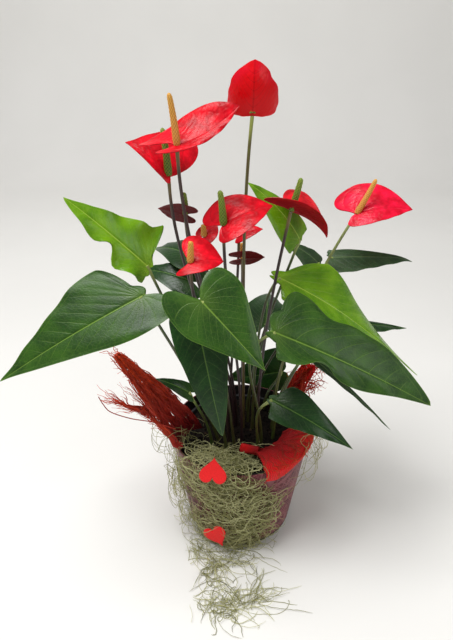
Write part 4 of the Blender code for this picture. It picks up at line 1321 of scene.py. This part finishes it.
def spanish_moss(material):
    drape = Drape()
    chance = random.Random(31)
    mat = Piece("moss_drape_strands")
    # Painted shade and light by depth: strands under the mat get only dark tones, those on top only pale
    # ones.
    dark, mixed, pale = (0.0, 0.25), (0.2, 1.0), (0.6, 1.0)
    moss_on_drape(mat, drape, chance, 190, (14, 24), (-0.0021, -0.0004), dark)
    moss_on_drape(mat, drape, chance, 310, (22, 44), (-0.0010, 0.0030), mixed)
    moss_on_drape(mat, drape, chance, 50, (30, 50), (0.0010, 0.0042), pale)
    moss_wisps(mat, drape, chance, 80, (-168, -146), (0.016, 0.110), 0.018)
    moss_wisps(mat, drape, chance, 22, (-24, -2), (0.030, 0.050), 0.016)
    moss_wisps(mat, drape, chance, 24, (-150, -134), (0.105, 0.125), 0.018)
    moss_wisps(mat, drape, chance, 34, (-90, -68), (0.105, 0.125), 0.018)
    on_soil = [(-0.044, -0.014), (-0.030, -0.034), (-0.004, -0.042), (0.016, -0.038)]
    moss_on_level(mat, chance, on_soil, SOIL_LEVEL + 0.002, 0.016, 110, 0.010)
    mat.make([material], ["moss_drape"], "moss")
    trail = Piece("moss_trail_strands")
    foot = -pot_radius(0) - 0.006
    beside_pot = [(-0.052, foot + 0.012), (-0.030, foot - 0.004), (-0.006, foot - 0.010),
                  (0.016, foot - 0.010)]
    forward = [(-0.020, foot - 0.006), (-0.026, -0.090), (-0.016, -0.110), (-0.010, -0.122)]
    across = [(-0.050, -0.112), (-0.022, -0.118), (0.010, -0.112), (0.038, -0.104)]
    tuft = [(-0.036, -0.120), (-0.018, -0.128), (0.004, -0.120)]
    runs = ((beside_pot, 0.014, 84, 0.008), (forward, 0.009, 46, 0.006),
            (across, 0.009, 60, 0.007), (tuft, 0.006, 20, 0.005))
    for path, width, count, heap in runs:
        moss_on_level(trail, chance, path, 0, width, count, heap)
    trail.make([material], ["moss_trail"], "moss")


# --- The whole plant ---

YOUNG_LEAVES = ("leaf_upper_left", "leaf_upper_right", "leaf_young")
DULL_LEAVES = ("leaf_right_curled", "leaf_behind_right", "leaf_right_edge_on")
# Leaves lying in the shade of others, which wear a darker copy of the leaf green as painted shade.
SHADED_LEAVES = ("leaf_front_hanging", "leaf_low_right", "leaf_low_left", "leaf_back_centre",
                 "leaf_back_left", "leaf_back_left_low", "leaf_back_low", "leaf_right_narrow")

# Each: the deep and light red of the upper side, and the colour of the back, which for red and pink is
# darker as painted shade.
SPATHE_COLOURS = {
    "red": ((0.38, 0.001, 0.006), (0.84, 0.004, 0.018), (0.26, 0.003, 0.008)),
    "deep": ((0.34, 0.001, 0.002), (0.74, 0.010, 0.050), (0.66, 0.002, 0.005)),
    "pink": ((0.48, 0.001, 0.014), (0.92, 0.008, 0.052), (0.34, 0.004, 0.012)),
    # Painted shade: a darkened copy of the red, for spathes seen from behind in shadow.
    "dark": ((0.10, 0.001, 0.003), (0.22, 0.003, 0.006), (0.12, 0.004, 0.006)),
}
# left_dark and low_dark wear the darkened copy, which is painted shade.
SPATHES = {"top": "deep", "left_dark": "dark", "low_dark": "dark", "far_right": "pink"}
STALKS = {"top": "olive", "far_right": "pale"}


def plant():
    mid = leaf_look("leaf_mid_green", (0.013, 0.046, 0.005), (0.030, 0.088, 0.008), (0.17, 0.29, 0.04),
                    (0.060, 0.125, 0.030), 0.26)
    # A darker copy of the mid green, as painted shade.
    shaded = leaf_look("leaf_green_painted_shade", (0.004, 0.022, 0.004), (0.010, 0.046, 0.007),
                       (0.09, 0.18, 0.03), (0.035, 0.080, 0.022), 0.22)
    dull = leaf_look("leaf_grey_green", (0.014, 0.038, 0.013), (0.034, 0.072, 0.024), (0.10, 0.16, 0.06),
                     (0.085, 0.125, 0.045), 0.30)
    bright = leaf_look("leaf_bright_green", (0.075, 0.205, 0.003), (0.160, 0.335, 0.006),
                       (0.36, 0.52, 0.06), (0.200, 0.360, 0.030), 0.18)
    # The third colour of each stem serves its streaks and the painted shade towards the soil.
    petiole = stem_look("petiole_green", (0.060, 0.105, 0.018), (0.28, 0.34, 0.09),
                        (0.045, 0.030, 0.012))
    for name, (b, st) in LEAVES.items():
        young = name in YOUNG_LEAVES
        shade = shaded if name in SHADED_LEAVES else dull if name in DULL_LEAVES else mid
        leaf(name, b, st, bright if young else shade, petiole, "leaf_bright" if young else "leaf_dark")

    spathes = {name: spathe_look("spathe_" + name, *colours) for name, colours in SPATHE_COLOURS.items()}
    # Each spadix: foot and tip colours, then the darker colour of the gaps between its bumps, which is
    # painted shade.
    spadices = dict(
        green=spadix_look("spadix_green", (0.13, 0.22, 0.012), (0.20, 0.30, 0.02),
                          (0.010, 0.035, 0.004)),
        orange=spadix_look("spadix_orange", (0.66, 0.30, 0.05), (0.68, 0.36, 0.05),
                           (0.42, 0.12, 0.015)))
    # Stalk looks: main, knee, and the colour of the streaks and of the painted shade towards the soil.
    stalks = dict(
        olive=stem_look("stalk_olive", (0.13, 0.14, 0.03), (0.24, 0.28, 0.06), (0.09, 0.05, 0.02)),
        pale=stem_look("stalk_pale", (0.24, 0.28, 0.09), (0.34, 0.38, 0.14), (0.13, 0.14, 0.04)),
        purple=stem_look("stalk_purple", (0.055, 0.030, 0.022), (0.16, 0.12, 0.04),
                         (0.022, 0.008, 0.012)))
    for name, (b, st, way, length, colour) in FLOWERS.items():
        flower(name, b, st, way, length, colour, spathes[SPATHES.get(name, "red")], spadices,
               stalks[STALKS.get(name, "purple")])


def dressing():
    outer_pot(pot_look())
    nursery_pot(plastic_look())
    potting_soil(soil_look())
    fibre = fibre_look()
    # Cloth colours: the foot colours are painted shade, the end colours painted light on the red.
    painted_shade_maroon, orange_red, bright_red = (0.13, 0.002, 0.006), (0.95, 0.080, 0.012), (0.85, 0.006, 0.008)
    sisal_left(sisal_cloth_look("sisal_cloth_left", 26, painted_shade_maroon, orange_red), fibre)
    sisal_right(sisal_cloth_look("sisal_cloth_right", 18, painted_shade_maroon, bright_red), fibre)
    sisal_front(sisal_cloth_look("sisal_cloth_front", 40, (0.40, 0.003, 0.006), bright_red), fibre)
    felt = felt_look()
    heart("heart_upper", -110, 0.1185, 0.0040, 172, -42, felt)
    heart("heart_lower", -111, 0.0275, -0.0008, -35, -5, felt)
    spanish_moss(moss_look())


# --- Floor, light and camera ---


CAMERA_PLACE = (-0.0138, -0.4254, 0.4791)
CAMERA_DOWN = 30.2  # how far it looks below the horizontal, in degrees
CAMERA_LENS = 31.5  # millimetres, over a sensor 36 mm wide


def floor():
    """A pale floor that sweeps up into a wall far behind the plant."""
    sweep = [(-1.6, 0.0), (1.1, 0.0)]
    sweep += [(1.1 + 0.4 * sin(a), 0.4 - 0.4 * cos(a)) for a in np.linspace(0.1, pi / 2, 12)]
    sweep += [(1.5, 2.2)]
    points = [(x, y, z) for y, z in sweep for x in (-2.5, 2.5)]
    faces = [(2 * k, 2 * k + 1, 2 * k + 3, 2 * k + 2) for k in range(len(sweep) - 1)]
    mesh = bpy.data.meshes.new("floor")
    mesh.from_pydata(points, [], faces)
    mesh.shade_smooth()
    mesh.materials.append(floor_look())
    obj = bpy.data.objects.new("floor", mesh)
    bpy.context.scene.collection.objects.link(obj)
    return obj


def soft_light(name, place, aim, size, power):
    data = bpy.data.lights.new(name, "AREA")
    data.shape = "DISK"
    data.size = size
    data.energy = power
    obj = bpy.data.objects.new(name, data)
    obj.location = place
    obj.rotation_euler = (Vector(aim) - Vector(place)).to_track_quat("-Z", "Y").to_euler()
    bpy.context.scene.collection.objects.link(obj)
    return obj


def studio():
    world = bpy.data.worlds.new("studio")
    world.use_nodes = True
    world.node_tree.nodes["Background"].inputs["Color"].default_value = (1.0, 0.99, 0.97, 1)
    world.node_tree.nodes["Background"].inputs["Strength"].default_value = 0.30
    scene = bpy.context.scene
    scene.world = world
    scene.view_settings.view_transform = "Standard"
    middle = (0, 0, 0.15)
    floor()
    soft_light("light_overhead", (-0.5, -0.2, 1.6), middle, 1.0, 28)
    soft_light("light_right", (1.3, -0.9, 1.0), middle, 0.9, 6)
    data = bpy.data.cameras.new("camera")
    data.lens = CAMERA_LENS
    data.sensor_width = 36
    camera = bpy.data.objects.new("camera", data)
    camera.location = CAMERA_PLACE
    camera.rotation_euler = (radians(90 - CAMERA_DOWN), 0, 0)
    scene.collection.objects.link(camera)
    scene.camera = camera


dressing()
plant()
studio()

bpy.context.view_layer.update()
